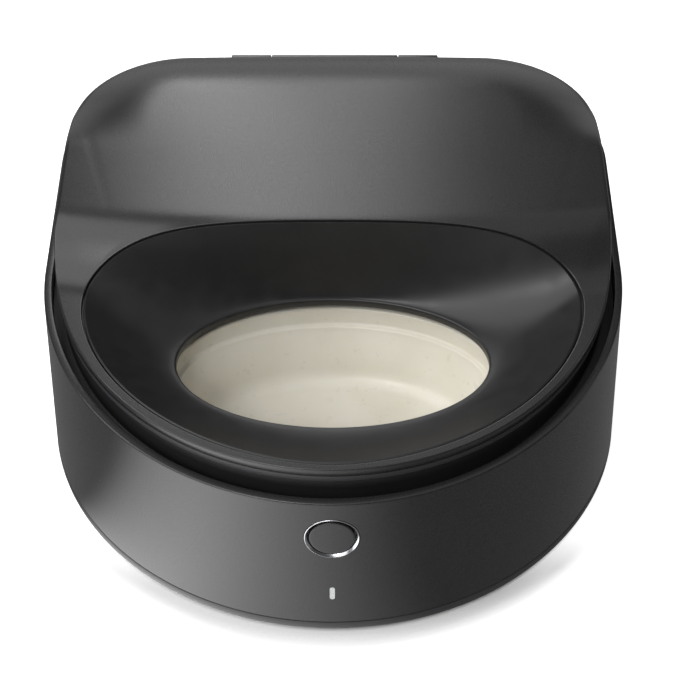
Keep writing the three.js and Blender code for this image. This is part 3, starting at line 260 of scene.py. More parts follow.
class Shape:
    """The feeder's curves, worked out once from its sizes."""

    def __init__(self, scene):
        self.body, self.lid = body, lid = scene.feeder_body, scene.feeder_lid
        self.tray, self.controls = scene.feeder_tray, scene.feeder_controls
        self.rim = (body.radius, body.back, body.corner)
        self.foot = inset(self.rim, -body.flare)
        self.lean = body.flare / body.rim_front
        self.lid_outline = inset(self.rim, lid.inset)
        self.seam = 0.1 * MM - body.channel_depth
        self.path = Path.even()
        self.crest_xy = self.path.points(self.lid_outline)

    def rim_height(self, y):
        """The rim is a plane that rises to the back."""
        body = self.body
        return lerp(body.rim_front, body.rim_back, (y + body.radius) / (body.radius + body.back))

    def ring(self, outline, height, above_rim=True, lean=0.0):
        """Points round an outline at a height above the table or the rim, drawn in by the wall's lean."""
        _, y = self.path.points(outline)
        z = self.rim_height(y) + height if above_rim else height + 0 * y
        return np.stack([*self.path.points(inset(outline, lean * z)), z], axis=1)

    def rings(self, outline, draws, above_rim=True, lean=0.0):
        """Several such rings, from pairs of how far each is drawn in and its height."""
        return [self.ring(inset(outline, draw), height, above_rim, lean) for draw, height in draws]

    def lip_top(self, y):
        """The lip runs parallel to the rim."""
        return self.rim_height(y) + self.lid.lip_rise

    def hood_share(self, x, y):
        """How much of the hood stands at a point: none in front of its foot, all behind its shoulder."""
        lid = self.lid
        side = np.minimum(1, np.abs(x) / self.lid_outline[0])
        forward = lid.hood_bow * (1 - side**2)
        spare = 5 * MM
        start, end = lid.hood_foot - spare, lid.hood_shoulder + spare
        return smoother((y + forward - start) / (end - start))

    def face(self, x, y):
        """The lid's upper face: the lip's plane in front, the crowned hood behind, sinking towards the back."""
        lid = self.lid
        radius, back, _ = self.lid_outline
        side = np.abs(x) / radius
        rise = lid.hood_rise + lid.crown * (1 - side**lid.crown_power)
        behind = np.maximum(0, (y - lid.fall_start) / (back - lid.fall_start))
        return self.lip_top(y) + self.hood_share(x, y) * rise - lid.fall * behind**2

    def edge_fall(self, y):
        """How far the crest falls over round the rear corners and the back."""
        lid = self.lid
        return lid.edge_fall * smooth((y - lid.edge_start) / (lid.edge_end - lid.edge_start))

    def crest_ring(self, in_part, down_part, margin=0.0, drop=0.0):
        """The crest drawn in and lowered by shares of its rounding, which grows from the lip to the hood."""
        lid = self.lid
        x, y = self.crest_xy
        rounding = lerp(lid.lip_round, lid.hood_round, self.hood_share(x, y))
        z = self.face(x, y) - self.edge_fall(y) - rounding * down_part - drop
        draw = rounding * in_part + margin + lid.draft * (z - self.rim_height(y) - lid.gap)
        return np.stack([*self.path.points(inset(self.lid_outline, draw)), z], axis=1)

    def mouth_turn(self):
        """The angle round the mouth that belongs to each place on the outline."""
        lid = self.lid
        x, y = self.crest_xy
        radius, back, _ = self.lid_outline
        depth = np.where(y < lid.mouth_middle, radius + lid.mouth_middle, back - lid.mouth_middle)
        return np.arctan2((y - lid.mouth_middle) / depth, x / radius)

    def mouth_ring(self, margin, drop):
        """Two half ovals of different powers that meet at the mouth's widest place, cut into the lid's face."""
        lid = self.lid
        turn = self.mouth_turn()
        rear = np.sin(turn) > 0
        power = np.where(rear, lid.mouth_rear_power, lid.mouth_front_power)
        across, along = (np.sign(value) * np.abs(value) ** (2 / power) for value in (np.cos(turn), np.sin(turn)))
        depth = np.where(rear, lid.mouth_rear, lid.mouth_front)
        z = self.face(lid.mouth_half * across, lid.mouth_middle + depth * along) - drop
        return np.stack([(lid.mouth_half - margin) * across, lid.mouth_middle + (depth - margin) * along, z], axis=1)

    def opening_ring(self, margin, z):
        """The oval of the feeding opening, grown by a margin."""
        lid = self.lid
        turn = self.mouth_turn()
        x = (lid.opening_half + margin) * np.cos(turn)
        y = lid.opening_y + (lid.opening_depth + margin) * np.sin(turn)
        return np.stack([x, y, z + 0 * turn], axis=1)

    def face_ring(self, part, crest, mouth):
        """A ring part of the way from the crest to the mouth, on the lid's face.

        Its height is the face, less the crest's fall, which fades with the square of the distance from the
        crest over the edge strip, and less the depth of the two rings under the face.
        """
        crest_depth = self.face(crest[:, 0], crest[:, 1]) - self.edge_fall(crest[:, 1]) - crest[:, 2]
        mouth_depth = self.face(mouth[:, 0], mouth[:, 1]) - mouth[:, 2]
        found = lerp(crest, mouth, part)
        away = self.depth_inside(found) - self.depth_inside(crest)
        strip = np.maximum(0, 1 - away / self.lid.edge_width)
        fall = self.edge_fall(found[:, 1]) * strip**2
        found[:, 2] = self.face(found[:, 0], found[:, 1]) - fall - lerp(crest_depth, mouth_depth, part)
        return found

    def depth_inside(self, ring):
        """How far the points of a ring lie inside the lid's outline, behind its front arc."""
        radius, back, corner = self.lid_outline
        across = np.abs(ring[:, 0]) - (radius - corner)
        along = ring[:, 1] - (back - corner)
        beyond = np.hypot(np.maximum(across, 0), np.maximum(along, 0))
        return corner - np.where((across > 0) & (along > 0), beyond, np.maximum(across, along))

    def funnel_ring(self, part, drop, outer, inner):
        """A ring part of the way down the funnel, which falls fast at first and levels out at the opening."""
        fall = 1 - (1 - part) ** self.lid.funnel_power
        rear = np.maximum(0, np.sin(self.mouth_turn()))
        found = lerp(outer, inner, np.array([part, part, fall]))
        found[:, 1] += drop * rear
        found[:, 2] -= drop
        return found

    def wall_y(self, x, z):
        """Where the front wall's outer face is, for a place across and a height."""
        radius = self.foot[0] - self.lean * z
        return -np.sqrt(radius**2 - x**2)


# ---------------------------------------------------------------- mesh makers


def grid_faces(rows, columns, close_rows=False):
    """Four-sided faces between neighbouring rings of points."""
    k = np.arange(rows if close_rows else rows - 1)[:, None]
    i = np.arange(columns)
    low, high, j = k * columns, (k + 1) % rows * columns, (i + 1) % columns
    return np.stack([low + i, low + j, high + j, high + i], axis=-1).reshape(-1, 4)


def build(name, parts, body, slot, node=None, bend=32.0, weld=2e-6):
    """Makes one piece of parts, each some points and sets of faces: joins seams, turns faces outward, smooths."""
    mesh = bpy.data.meshes.new(name)
    points, faces, base = [], [], 0
    for part_points, *sets in parts:
        points.append(np.asarray(part_points, float).reshape(-1, 3))
        for corners in sets:
            faces.extend((np.asarray(corners) + base).tolist())
        base += len(points[-1])
    mesh.from_pydata(np.concatenate(points).tolist(), [], faces)
    work = bmesh.new()
    work.from_mesh(mesh)
    bmesh.ops.remove_doubles(work, verts=work.verts, dist=weld)
    bmesh.ops.recalc_face_normals(work, faces=work.faces)
    work.to_mesh(mesh)
    work.free()
    mesh.shade_smooth()
    mesh.set_sharp_from_angle(angle=math.radians(bend))
    piece = bpy.data.objects.new(name, mesh)
    bpy.context.collection.objects.link(piece)
    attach(piece, body)
    piece["feeder_slot"] = slot
    if node:
        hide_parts(node)
    return piece


def mm(*pairs):
    """Places given in millimetres, as an array in metres."""
    return np.array(pairs, float) * MM


def around(steps):
    """Even angles round a full turn."""
    return np.arange(steps) * 2 * np.pi / steps


def quarter(radius, steps=6):
    """A quarter round as pairs: the first of each grows from 0 to the radius, the second shrinks to 0."""
    return [(radius * (1 - math.cos(t)), radius * (1 - math.sin(t))) for t in np.linspace(0, np.pi / 2, steps)]


def level(outline, z):
    """A flat outline as points at one height."""
    return np.column_stack([outline, np.full(len(outline), z)])


def field(across, along):
    """Points in rows and columns."""
    x, y = np.meshgrid(across, along)
    return np.stack([x.ravel(), y.ravel()], axis=1)


def loft(rings, close_rows=False, caps=False):
    """A skin through rings of points; open ends can be closed with a fan round their middle."""
    rings = [np.asarray(ring, float) for ring in rings]
    count = len(rings[0])
    points = np.concatenate(rings)
    sets = [grid_faces(len(rings), count, close_rows)]
    if caps:
        for start in (0, (len(rings) - 1) * count):
            sets.append(fan(len(points), start, count))
            points = np.vstack([points, points[start : start + count].mean(axis=0)])
    return points, *sets


def fan(hub, start, count):
    """Triangles from a middle point to a ring of points."""
    i = np.arange(count)
    return np.stack([np.full(count, hub), start + i, start + (i + 1) % count], axis=1)


def revolve(profile, steps=64, centre=(0.0, 0.0), close=True):
    """A profile of radius and height turned round an upright axis."""
    profile = np.asarray(profile, float)
    turn = around(steps)
    x = centre[0] + profile[:, :1] * np.cos(turn)
    y = centre[1] + profile[:, :1] * np.sin(turn)
    z = np.repeat(profile[:, 1:], steps, axis=1)
    return np.stack([x, y, z], axis=-1).reshape(-1, 3), grid_faces(len(profile), steps, close)


def rounded(profile, radius, steps=5):
    """Puts a short curve in place of every corner of a closed profile, but not of those on its axis."""
    profile = np.asarray(profile, float)
    sides = [np.roll(profile, shift, axis=0) - profile for shift in (1, -1)]
    lengths = [np.linalg.norm(side, axis=1, keepdims=True) for side in sides]
    reach = np.minimum(radius, 0.45 * np.minimum(*lengths))
    reach = np.where(profile[:, :1] <= 1e-9, 0, reach)
    start, end = ((profile + side / size * reach)[:, None] for side, size in zip(sides, lengths))
    t = np.linspace(0, 1, steps)[None, :, None]
    return ((1 - t) ** 2 * start + 2 * t * (1 - t) * profile[:, None] + t**2 * end).reshape(-1, 2)


def oval(half_width, half_depth, steps=96, centre=(0.0, 0.0), turned=0.0):
    """Points round an oval, which may be turned about the origin."""
    turn = around(steps)
    x = centre[0] + half_width * np.cos(turn)
    y = centre[1] + half_depth * np.sin(turn)
    c, s = math.cos(turned), math.sin(turned)
    return np.stack([x * c - y * s, x * s + y * c], axis=1)


def slot_outline(width, height, centre=(0.0, 0.0), steps=10):
    """A slot with half-round ends, long in its second direction."""
    turn = np.linspace(0, np.pi, steps + 1)
    radius = width / 2
    straight = height / 2 - radius
    upper = np.stack([radius * np.cos(turn), radius * np.sin(turn) + straight], axis=1)
    return np.concatenate([upper, -upper]) + np.asarray(centre)


def inside(points, polygon):
    """Which points lie inside a polygon: a line to the right of such a point crosses an odd number of edges."""
    x, y = points[:, :1], points[:, 1:]
    x0, y0 = polygon[:, 0], polygon[:, 1]
    x1, y1 = np.roll(x0, -1), np.roll(y0, -1)
    spans = (y0 > y) != (y1 > y)
    rise = np.where(y1 == y0, 1, y1 - y0)
    return (np.sum(spans & (x < x0 + (y - y0) / rise * (x1 - x0)), axis=1) % 2) == 1


def on_plate(points, border, holes):
    """Which points lie inside a border and in none of its holes."""
    return inside(points, border) & ~np.any([inside(points, hole) for hole in holes], axis=0)


def pierced(border, holes, fill):
    """Points and triangles over a flat border with holes, through a field of inner points."""
    keep, closest = on_plate(fill, border, holes), 0.35
    for hole in holes:
        near = np.linalg.norm(fill[:, None] - hole[None], axis=2).min(axis=1)
        keep &= near > closest * np.linalg.norm(hole[1] - hole[0])
    edges, first = [], 0
    for loop in (border, *holes):
        i = np.arange(len(loop))
        edges += np.stack([first + i, first + (i + 1) % len(loop)], axis=1).tolist()
        first += len(loop)
    in_mm = np.concatenate([border, *holes, fill[keep]]) * 1000
    result = delaunay_2d_cdt([Vector(point) for point in in_mm.tolist()], edges, [], 0, 1e-7)
    points = np.array([point[:] for point in result[0]]) / 1000
    faces = np.array(result[2])
    return points, faces[on_plate(points[faces].mean(axis=1), border, holes)]


def edge_loops(faces):
    """The edges that only one triangle has, in that triangle's direction."""
    edges = np.concatenate([faces[:, [0, 1]], faces[:, [1, 2]], faces[:, [2, 0]]])
    key = np.sort(edges, axis=1)
    _, back, count = np.unique(key, axis=0, return_inverse=True, return_counts=True)
    return edges[count[back.ravel()] == 1]


def slab(faces, upper, lower, skip=None):
    """A sheet of the same triangles on an upper and a lower surface, with walls along its open edges."""
    edges = edge_loops(faces)
    if skip is not None:
        edges = edges[~(skip[edges[:, 0]] & skip[edges[:, 1]])]
    start, end = edges.T
    walls = np.stack([start, end, end + len(upper), start + len(upper)], axis=1)
    return np.concatenate([upper, lower]), faces, faces[:, ::-1] + len(upper), walls


def flat_slab(border, holes, spacing, low, high):
    """A flat plate with holes between two heights."""
    across, along = (np.arange(values.min() + spacing / 2, values.max(), spacing) for values in border.T)
    points, faces = pierced(border, holes, field(across, along))
    return slab(faces, level(points, high), level(points, low))


# ---------------------------------------------------------------- base pieces


def foot_places(shape):
    """Middles of the four feet: two on the front arc, two near the rear corners."""
    x, y = Path([FRONT, RIGHT_CORNER], [0.75, 0.5]).points(inset(shape.foot, 34 * MM))
    return [(x[0], y[0]), (-x[0], y[0]), (x[1], y[1]), (-x[1], y[1])]


def screw_places(shape):
    """Middles of the four cover screws."""
    x, y = Path([FRONT, FRONT, RIGHT_CORNER], [0.24, 0.76, 0.5]).points(inset(shape.foot, 10 * MM))
    return [(x[0], y[0]), (x[1], y[1]), (x[2], y[2]), (-x[2], y[2])]


def wall_holes(shape, starts, lengths):
    """The button's hole, the light's slot, the vents and the inlet's hole, in path length and height."""
    controls, body = shape.controls, shape.body

    def on_front(outline):
        radius = shape.foot[0] - shape.lean * outline[:, 1]
        part = np.arccos(np.clip(-outline[:, 0] / radius, -1, 1)) / np.pi
        return np.stack([starts[FRONT] + part * lengths[FRONT], outline[:, 1]], axis=1)

    def on_back(outline):
        return np.stack([starts[BACK] + lengths[BACK] / 2 - outline[:, 0], outline[:, 1]], axis=1)

    fit = 0.3 * MM
    button, inlet = controls.ring_outer + fit, controls.inlet_radius + fit
    light = controls.light_width + 2 * fit, controls.light_height + 2 * fit
    vent_width, vent_height, vent_z = 3 * MM, 28 * MM, 30 * MM
    vents = (np.arange(body.vents) - (body.vents - 1) / 2) * body.vent_pitch
    return [
        on_front(oval(button, button, 72, (0, controls.button_z))),
        on_front(slot_outline(*light, (0, controls.light_z))),
        on_back(oval(inlet, inlet, 40, (controls.inlet_x, controls.inlet_z))),
        *(on_back(slot_outline(vent_width, vent_height, (x, vent_z))) for x in vents),
    ]


def stretch_lengths(shape):
    """Nominal lengths of the six stretches of the outline."""
    radius, back, corner = shape.rim
    bend = corner * np.pi / 2
    return np.array([back - corner, bend, 2 * (radius - corner), bend, back - corner, radius * np.pi])


def wall_sheet(shape):
    """The leaning wall with its holes, as a sheet with an outer and an inner side up to the rim's own ring."""
    body, path = shape.body, shape.path
    lengths = stretch_lengths(shape)
    starts = np.concatenate([[0], np.cumsum(lengths)])
    along = np.where(path.zone == LEFT, 1 - path.along, path.along)
    s = np.append(starts[path.zone] + along * lengths[path.zone], starts[-1])
    top = shape.ring(shape.foot, shape.seam, lean=shape.lean)[:, 2]
    top = np.append(top, top[0])
    rows = 22
    heights = np.linspace(0, 1, rows)[:, None] * (top - body.shell_bottom)[None] + body.shell_bottom
    grid = np.stack([np.broadcast_to(s, heights.shape), heights], axis=-1)
    border = np.concatenate([grid[0], grid[1:-1, -1], grid[-1, ::-1], grid[-2:0:-1, 0]])
    points, faces = pierced(border, wall_holes(shape, starts, lengths), grid[1:-1, 1:-1].reshape(-1, 2))
    zone = np.clip(np.searchsorted(starts, points[:, 0], side="right") - 1, RIGHT, FRONT)
    along = (points[:, 0] - starts[zone]) / lengths[zone]
    along = np.where(zone == LEFT, 1 - along, along)
    spots = Path(zone, np.clip(along, 0, 1))
    z = points[:, 1]
    sides = [
        np.stack([*spots.points(inset(shape.foot, depth + shape.lean * z)), z], axis=1) for depth in (0, body.wall)
    ]
    across, near = points[:, 0], 1e-6
    joined = (across < near) | (across > s[-1] - near) | (np.abs(z - np.interp(across, s, top)) < near)
    return slab(faces, *sides, skip=joined)


def base_shell(shape):
    """The wall, and above it the rounded rim with its flat land and inner face."""
    body, land, inner_edge = shape.body, shape.body.land, 0.4 * MM
    draws = [(0, shape.seam), *((0, lerp(shape.seam, -body.rim_edge, part)) for part in (0.5, 0.9))]
    draws += [(a, -b) for a, b in quarter(body.rim_edge)] + [(land - inner_edge, 0)]
    draws += [(land - b, -a) for a, b in quarter(inner_edge)[1:]]
    draws += [(land, shape.seam), (body.wall, shape.seam)]
    rim = loft(shape.rings(shape.foot, draws, lean=shape.lean))
    build("base_shell_moulded", [wall_sheet(shape), rim], "base", "shell_paint", "base_shell", weld=2e-5)


def screw_bosses(shape):
    """Posts under the wall that take the cover screws."""
    profile = rounded(mm((1.2, 3.6), (4.5, 3.6), (4.5, 24), (1.2, 24)), 0.3 * MM)
    parts = [revolve(profile, 40, place) for place in screw_places(shape)]
    build("base_screw_bosses", parts, "base", "shell_paint")


def bottom_cover(shape):
    """The dark cover: chamfered underside with foot pockets, screw holes and air slots, and its upright edge."""
    body = shape.body
    low, high, top = body.cover_bottom, body.cover_bottom + body.cover_floor, body.cover_top
    border = np.stack(shape.path.points(inset(shape.foot, body.wall + shape.lean * high)), axis=1)
    holes = [oval(8.3 * MM, 8.3 * MM, 48, place) for place in foot_places(shape)]
    holes += [oval(3.3 * MM, 3.3 * MM, 28, place) for place in screw_places(shape)]
    slots, slot_width, grille, grille_y = 6, 3 * MM, 28 * MM, 100 * MM
    for k in range(slots):
        x = (k - (slots - 1) / 2) * 2 * grille / slots
        holes.append(slot_outline(slot_width, 2 * math.sqrt(grille**2 - x**2), (x, grille_y)))
    chamfer, edge = body.cover_chamfer, 0.3 * MM
    under = [(chamfer + edge, low), (chamfer - edge / 2, low + 0.4 * edge)]
    side = [(edge, low + chamfer - edge), (0, low + chamfer + edge), (0, top - edge)]
    side += [(edge / 3, top - edge / 3), (edge, top), (body.wall, top)]
    rings = [
        level(border, low),
        *shape.rings(shape.foot, under, False),
        *shape.rings(shape.foot, side, False, shape.lean),
        level(border, high),
    ]
    pocket = mm((0, 2.7), (9, 2.7), (9, 3.2), (0, 3.2))
    parts = [flat_slab(border, holes, 7 * MM, low, high), loft(rings)]
    parts += [revolve(pocket, 40, place) for place in foot_places(shape)]
    build("bottom_cover_moulded", parts, "base", "dark_plastic", "bottom_cover")


def feet(shape):
    """Four rubber pads with rounded edges and a shallow ring groove underneath."""
    profile = rounded(mm((0, 0.5), (4.6, 0.5), (5.2, 0), (8, 0), (8, 2.3), (0, 2.3)), 0.5 * MM)
    names = ("foot_front_right", "foot_front_left", "foot_rear_right", "foot_rear_left")
    for name, place in zip(names, foot_places(shape)):
        build(f"{name}_pad", [revolve(profile, 56, place)], "base", "rubber", name)


def screws(shape):
    """Cross-head screws: a pierced head over a solid disc, and the shank."""
    low = 0.8 * MM
    arm = mm((-0.4, -1.6), (0.4, -1.6), (0.4, -0.4))
    cross = np.concatenate([arm @ np.linalg.matrix_power([[0, 1], [-1, 0]], k) for k in range(4)])
    profile = mm((0, 0.75), (2.98, 0.75), (2.98, 1.3), (0.9, 1.3), (0.9, 12.6), (0, 13)) + (0, low)
    for k, place in enumerate(screw_places(shape), 1):
        head = flat_slab(oval(3 * MM, 3 * MM, 48, place), [cross + place], 0.8 * MM, low, low + 0.8 * MM)
        parts = [head, revolve(profile, 48, place)]
        build(f"cover_screw_{k}_head", parts, "base", "screw_steel", f"cover_screw_{k}")


def well_liner(shape):
    """The black well: rounded collar, channel floor, deep wall, and a floor pierced for cold plate and gear."""
    body = shape.body
    inner = inset(shape.rim, body.well_inset)
    outer = inset(inner, -body.well_wall)
    flange = inset(shape.foot, body.land + 0.3 * MM)
    high, low, top = -body.channel_depth, -body.channel_depth - body.channel_floor, body.collar_rise
    floor, under = body.well_top, body.well_top - 3 * MM
    bend = 5
    corner, edge = 2 * MM, quarter(0.5 * MM, bend)
    border = np.stack(shape.path.points(inset(inner, corner)), axis=1)
    cold_plate = mm((-1, -1), (1, -1), (1, 1), (-1, 1)) * 29.3 + (0, 100 * MM)
    pinion_turn, pinion_reach = -0.9 * math.pi, 72 * MM
    pinion_y = shape.tray.centre + pinion_reach * math.sin(pinion_turn)
    pinion = oval(3.6 * MM, 3.6 * MM, 32, (pinion_reach * math.cos(pinion_turn), pinion_y))
    plate = flat_slab(border, [cold_plate, pinion], 9 * MM, under, floor)
    rings = [level(border, under), *shape.rings(outer, [(corner, under), (0, under + corner)], False)]
    rings += [shape.ring(outer, low), *shape.rings(flange, [(0, low), (0, high)], lean=shape.lean)]
    rings += shape.rings(outer, [(-b, high + a) for a, b in quarter(1 * MM, bend)])
    rings += shape.rings(outer, [(a, top - b) for a, b in edge])
    rings += shape.rings(inner, [(-b, top - a) for a, b in edge])
    rings += shape.rings(inner, [(a, floor + b) for a, b in quarter(corner, bend)], False)
    build("well_liner_moulded", [plate, loft(rings)], "base", "well_plastic", "well_liner")


# ---------------------------------------------------------------- lid pieces


def lid_shell(shape):
    """The hood: drafted side, rounded crest, crowned face down to the mouth, and the same again on the inside."""
    lid, outline = shape.lid, shape.lid_outline
    low = lid.gap + lid.band_height + 0.3 * MM
    edge, soft, depth = 0.25 * MM, 0.6 * MM, 5 * MM
    crest, mouth = shape.crest_ring(1, 0), shape.mouth_ring(0, 0)
    under_crest, under_mouth = shape.crest_ring(1, 1, lid.wall, lid.wall), shape.mouth_ring(-soft, depth)
    rings = shape.rings(outline, [(edge, low), (0.3 * edge, low + 0.3 * edge), (0, low + edge)])
    rings += [shape.crest_ring(a, b) for a, b in quarter(1, 9)[:-1]]
    rings += [shape.face_ring(part, crest, mouth) for part in np.linspace(0, 1, 48)]
    rings += [shape.mouth_ring(soft - b, a) for a, b in quarter(soft, 9)[2::2]]
    rings += [shape.mouth_ring(soft, depth)]
    rings += [shape.face_ring(part, under_crest, under_mouth) for part in np.linspace(1, 0, 14)]
    rings += [shape.ring(inset(outline, lid.wall), low)]
    build("lid_shell_moulded", [loft(rings, close_rows=True)], "lid", "shell_paint", "lid_shell")


def lid_liner(shape):
    """The dark band under the lip and the pan that closes the lid from below, in one moulding."""
    lid = shape.lid
    band, pan = inset(shape.lid_outline, lid.band_inset), inset(shape.rim, 16.6 * MM)
    gap, high, bottom = lid.gap, lid.gap + lid.band_height, lid.pan_bottom
    floor, edge, wall, margin = bottom + 1.6 * MM, 0.2 * MM, 2 * MM, 5 * MM
    step = gap + 2.5 * MM
    rings = shape.rings(band, [(b, gap + a) for a, b in quarter(0.8 * MM)] + [(0, high - edge), (edge, high)])
    rings += shape.rings(shape.lid_outline, [(3.1 * MM, high), (3.7 * MM, step)])
    rings += [shape.ring(inset(pan, wall), step), shape.ring(inset(pan, wall), floor, False)]
    rings += [shape.opening_ring(margin, z) for z in (floor, bottom)]
    rings += shape.rings(pan, [(b, bottom + a) for a, b in quarter(1.6 * MM)], False)
    rings += [shape.ring(pan, gap)]
    build("lid_liner_moulded", [loft(rings, close_rows=True)], "lid", "dark_plastic", "lid_liner")


def feeding_funnel(shape):
    """The black funnel: a seat and groove in the mouth, a fine bead, the long fall to the opening, a rounded lip."""
    rest, bead, groove, seat = 0.7 * MM, 0.6 * MM, 0.5 * MM, 2.2 * MM
    bead_foot, bead_top, lip, edge, wall = rest + groove, 0.9 * MM, 1.2 * MM, 0.3 * MM, 3 * MM
    top = shape.lid.opening_top
    bottom = top - 4.6 * MM
    start = shape.mouth_ring(bead_foot + 2 * bead, bead)
    end, under_end = shape.opening_ring(lip, top), shape.opening_ring(wall, bottom + 1.2 * MM)
    rings = [shape.mouth_ring(rest, 2 * seat), shape.mouth_ring(rest, seat), shape.mouth_ring(bead_foot, seat)]
    rings += [shape.mouth_ring(bead_foot + bead * a / 2, lerp(bead_top, seat, b)) for a, b in quarter(1, 7)[1:]]
    rings += [shape.funnel_ring(part, 0, start, end) for part in np.linspace(0, 1, 40) ** 1.15]
    rings += [shape.opening_ring(b, top - a) for a, b in quarter(lip, 7)[1:]]
    rings += [shape.opening_ring(a, bottom + b) for a, b in quarter(edge, 7)[::3]]
    rings += [shape.opening_ring(wall, bottom), under_end]
    rings += [shape.funnel_ring(part, seat, start, under_end) for part in (0.75, 0.5, 0.3, 0.12)]
    build("feeding_funnel_moulded", [loft(rings, close_rows=True)], "lid", "funnel_plastic", "feeding_funnel")


def lid_seal(shape):
    """The soft ring between the well's collar and the lid, with a rounded section."""
    middle = (shape.lid.gap + shape.body.collar_rise) / 2
    half_width, half_height = 0.9 * MM, 0.45 * MM
    draws = [(half_width * (1 - math.cos(t)), middle + half_height * math.sin(t)) for t in around(12)]
    rings = shape.rings(inset(shape.rim, 10.8 * MM), draws)
    build("lid_seal_ring", [loft(rings, close_rows=True)], "lid", "rubber", "lid_seal")


def lying_barrel(shape, left, right, radius, bore=0.0, edge=0.5 * MM):
    """A barrel that lies along the hinge axis, with rounded ends."""
    lid = shape.lid
    points, faces = revolve(rounded([(bore, left), (radius, left), (radius, right), (bore, right)], edge), 40)
    return points[:, [2, 0, 1]] + (0, lid.hinge_y, lid.hinge_z), faces


def box_part(x, y, z):
    """The eight corners and six faces of a block, from its two ends in each direction."""
    points = np.stack([values.ravel() for values in np.meshgrid(x, y, z, indexing="ij")], axis=1)
    return points, np.array([(0, 1, 3, 2), (4, 6, 7, 5), (0, 4, 5, 1), (2, 3, 7, 6), (0, 2, 6, 4), (1, 5, 7, 3)])


def hinge(shape):
    """Barrels of the lid and of the base on one axis, the webs that carry them, and the pin."""
    y, z, barrel = shape.lid.hinge_y, shape.lid.hinge_z, shape.lid.barrel
    half, knuckle, gap, bore, pin = 61.3 * MM, 23.4 * MM, 0.5 * MM, 1.7 * MM, 1.6 * MM
    inner, edge, pin_gap = half - knuckle - gap, 0.4 * MM, 0.3 * MM
    web = box_part(
        (edge - inner, inner - edge), (shape.lid_outline[1] - 1.25 * MM, y - 2 * MM), (z - 3 * MM, z + 3 * MM)
    )
    build("lid_hinge_barrel", [lying_barrel(shape, -inner, inner, barrel, bore), web], "lid", "shell_paint")
    back = shape.rim[1] - 0.9 * MM
    for name, left, right in (("left", -half, -half + knuckle), ("right", half - knuckle, half)):
        post = box_part((left + edge, right - edge), (back - 3.4 * MM, back), (108.6 * MM, z - 2 * MM))
        parts = [lying_barrel(shape, left, right, barrel, bore), post]
        build(f"base_hinge_barrel_{name}", parts, "base", "shell_paint")
    turned = lying_barrel(shape, pin_gap - half, half - pin_gap, pin, edge=edge)
    build("hinge_pin_turned", [turned], "base", "screw_steel", "hinge_pin")


def shutter(shape):
    """The oval leaf that turns under the opening, with its neck, bored hub and gear."""
    hub, reach, radius, corner = mm((0, 4)), 64.5 * MM, 9 * MM, 2 * MM
    half_width, half_depth, neck = 90.5 * MM, 55 * MM, 15 * MM
    low, lap = shape.lid.pan_bottom + 2 * MM, 0.02 * MM
    high, gear_high = low + 1.6 * MM, low + 4.6 * MM
    start = math.asin(neck / half_width)
    turn = np.linspace(-np.pi / 2 + start, 1.5 * np.pi - start, 120)
    bow = np.linspace(-np.pi, 0, 24)
    border = np.concatenate([
        np.stack([half_width * np.cos(turn), half_depth * np.sin(turn) + reach], axis=1),
        [(-neck, corner), (corner - neck, 0)],
        np.stack([radius * np.cos(bow), radius * np.sin(bow)], axis=1),
        [(neck - corner, 0), (neck, corner)],
    ]) + hub
    bore = oval(2.75 * MM, 2.75 * MM, 24, hub[0])
    leaf = flat_slab(border, [bore], 8 * MM, low, high)
    gear = flat_slab(gear_outline(14, 1.5 * MM, np.pi / 2) + hub, [bore], 3 * MM, high - lap, gear_high)
    build("shutter_leaf", [leaf, gear], "door", "dark_plastic", "shutter_door", bend=25)


def gear_outline(teeth, module, tooth_at):
    """Straight-sided teeth with running clearance."""
    pitch, step, clearance = module * teeth / 2, 2 * np.pi / teeth, 0.15
    root, tip = pitch - (1 + clearance) * module, pitch + (1 - clearance) * module
    radii = np.array([root, tip, tip, root])
    sides = np.array([-0.27, -0.11, 0.11, 0.27]) * step
    turn = tooth_at + np.arange(teeth)[:, None] * step + sides[None]
    return np.stack([radii * np.cos(turn), radii * np.sin(turn)], axis=-1).reshape(-1, 2)


# ---------------------------------------------------------------- tray and controls


def bowl_profile(tray):
    """How far each ring of a bowl is drawn in and its height: rounded rim, step, leaning wall, rounded floor."""
    top, step_z = tray.top, tray.top - tray.step_drop
    step_gap, shoulder, step_edge = 0.2 * MM, 1.2 * MM, 0.9 * MM
    levels = [(-b, top - a) for a, b in quarter(1.6 * MM, 7)]
    levels += [(a, step_z + step_gap + b) for a, b in quarter(shoulder, 7)[::2]]
    levels += [(tray.step - b, step_z - a) for a, b in quarter(step_edge, 7)[::2]]
    inner, low = tray.step + tray.taper, tray.floor + tray.round
    levels += [(lerp(tray.step, inner, part), lerp(step_z, low, part)) for part in (0.25, 0.5, 0.75)]
    lean = math.atan2(tray.taper, step_z - low)
    turns = np.linspace(lean * 0.4, np.pi / 2, 9)
    levels += [(inner + tray.round * (1 - math.cos(t)), low - tray.round * math.sin(t)) for t in turns]
    last = levels[-1][0]
    return levels + [(lerp(last, tray.half_depth, part), tray.floor) for part in (0.25, 0.5, 0.75, 0.97)]


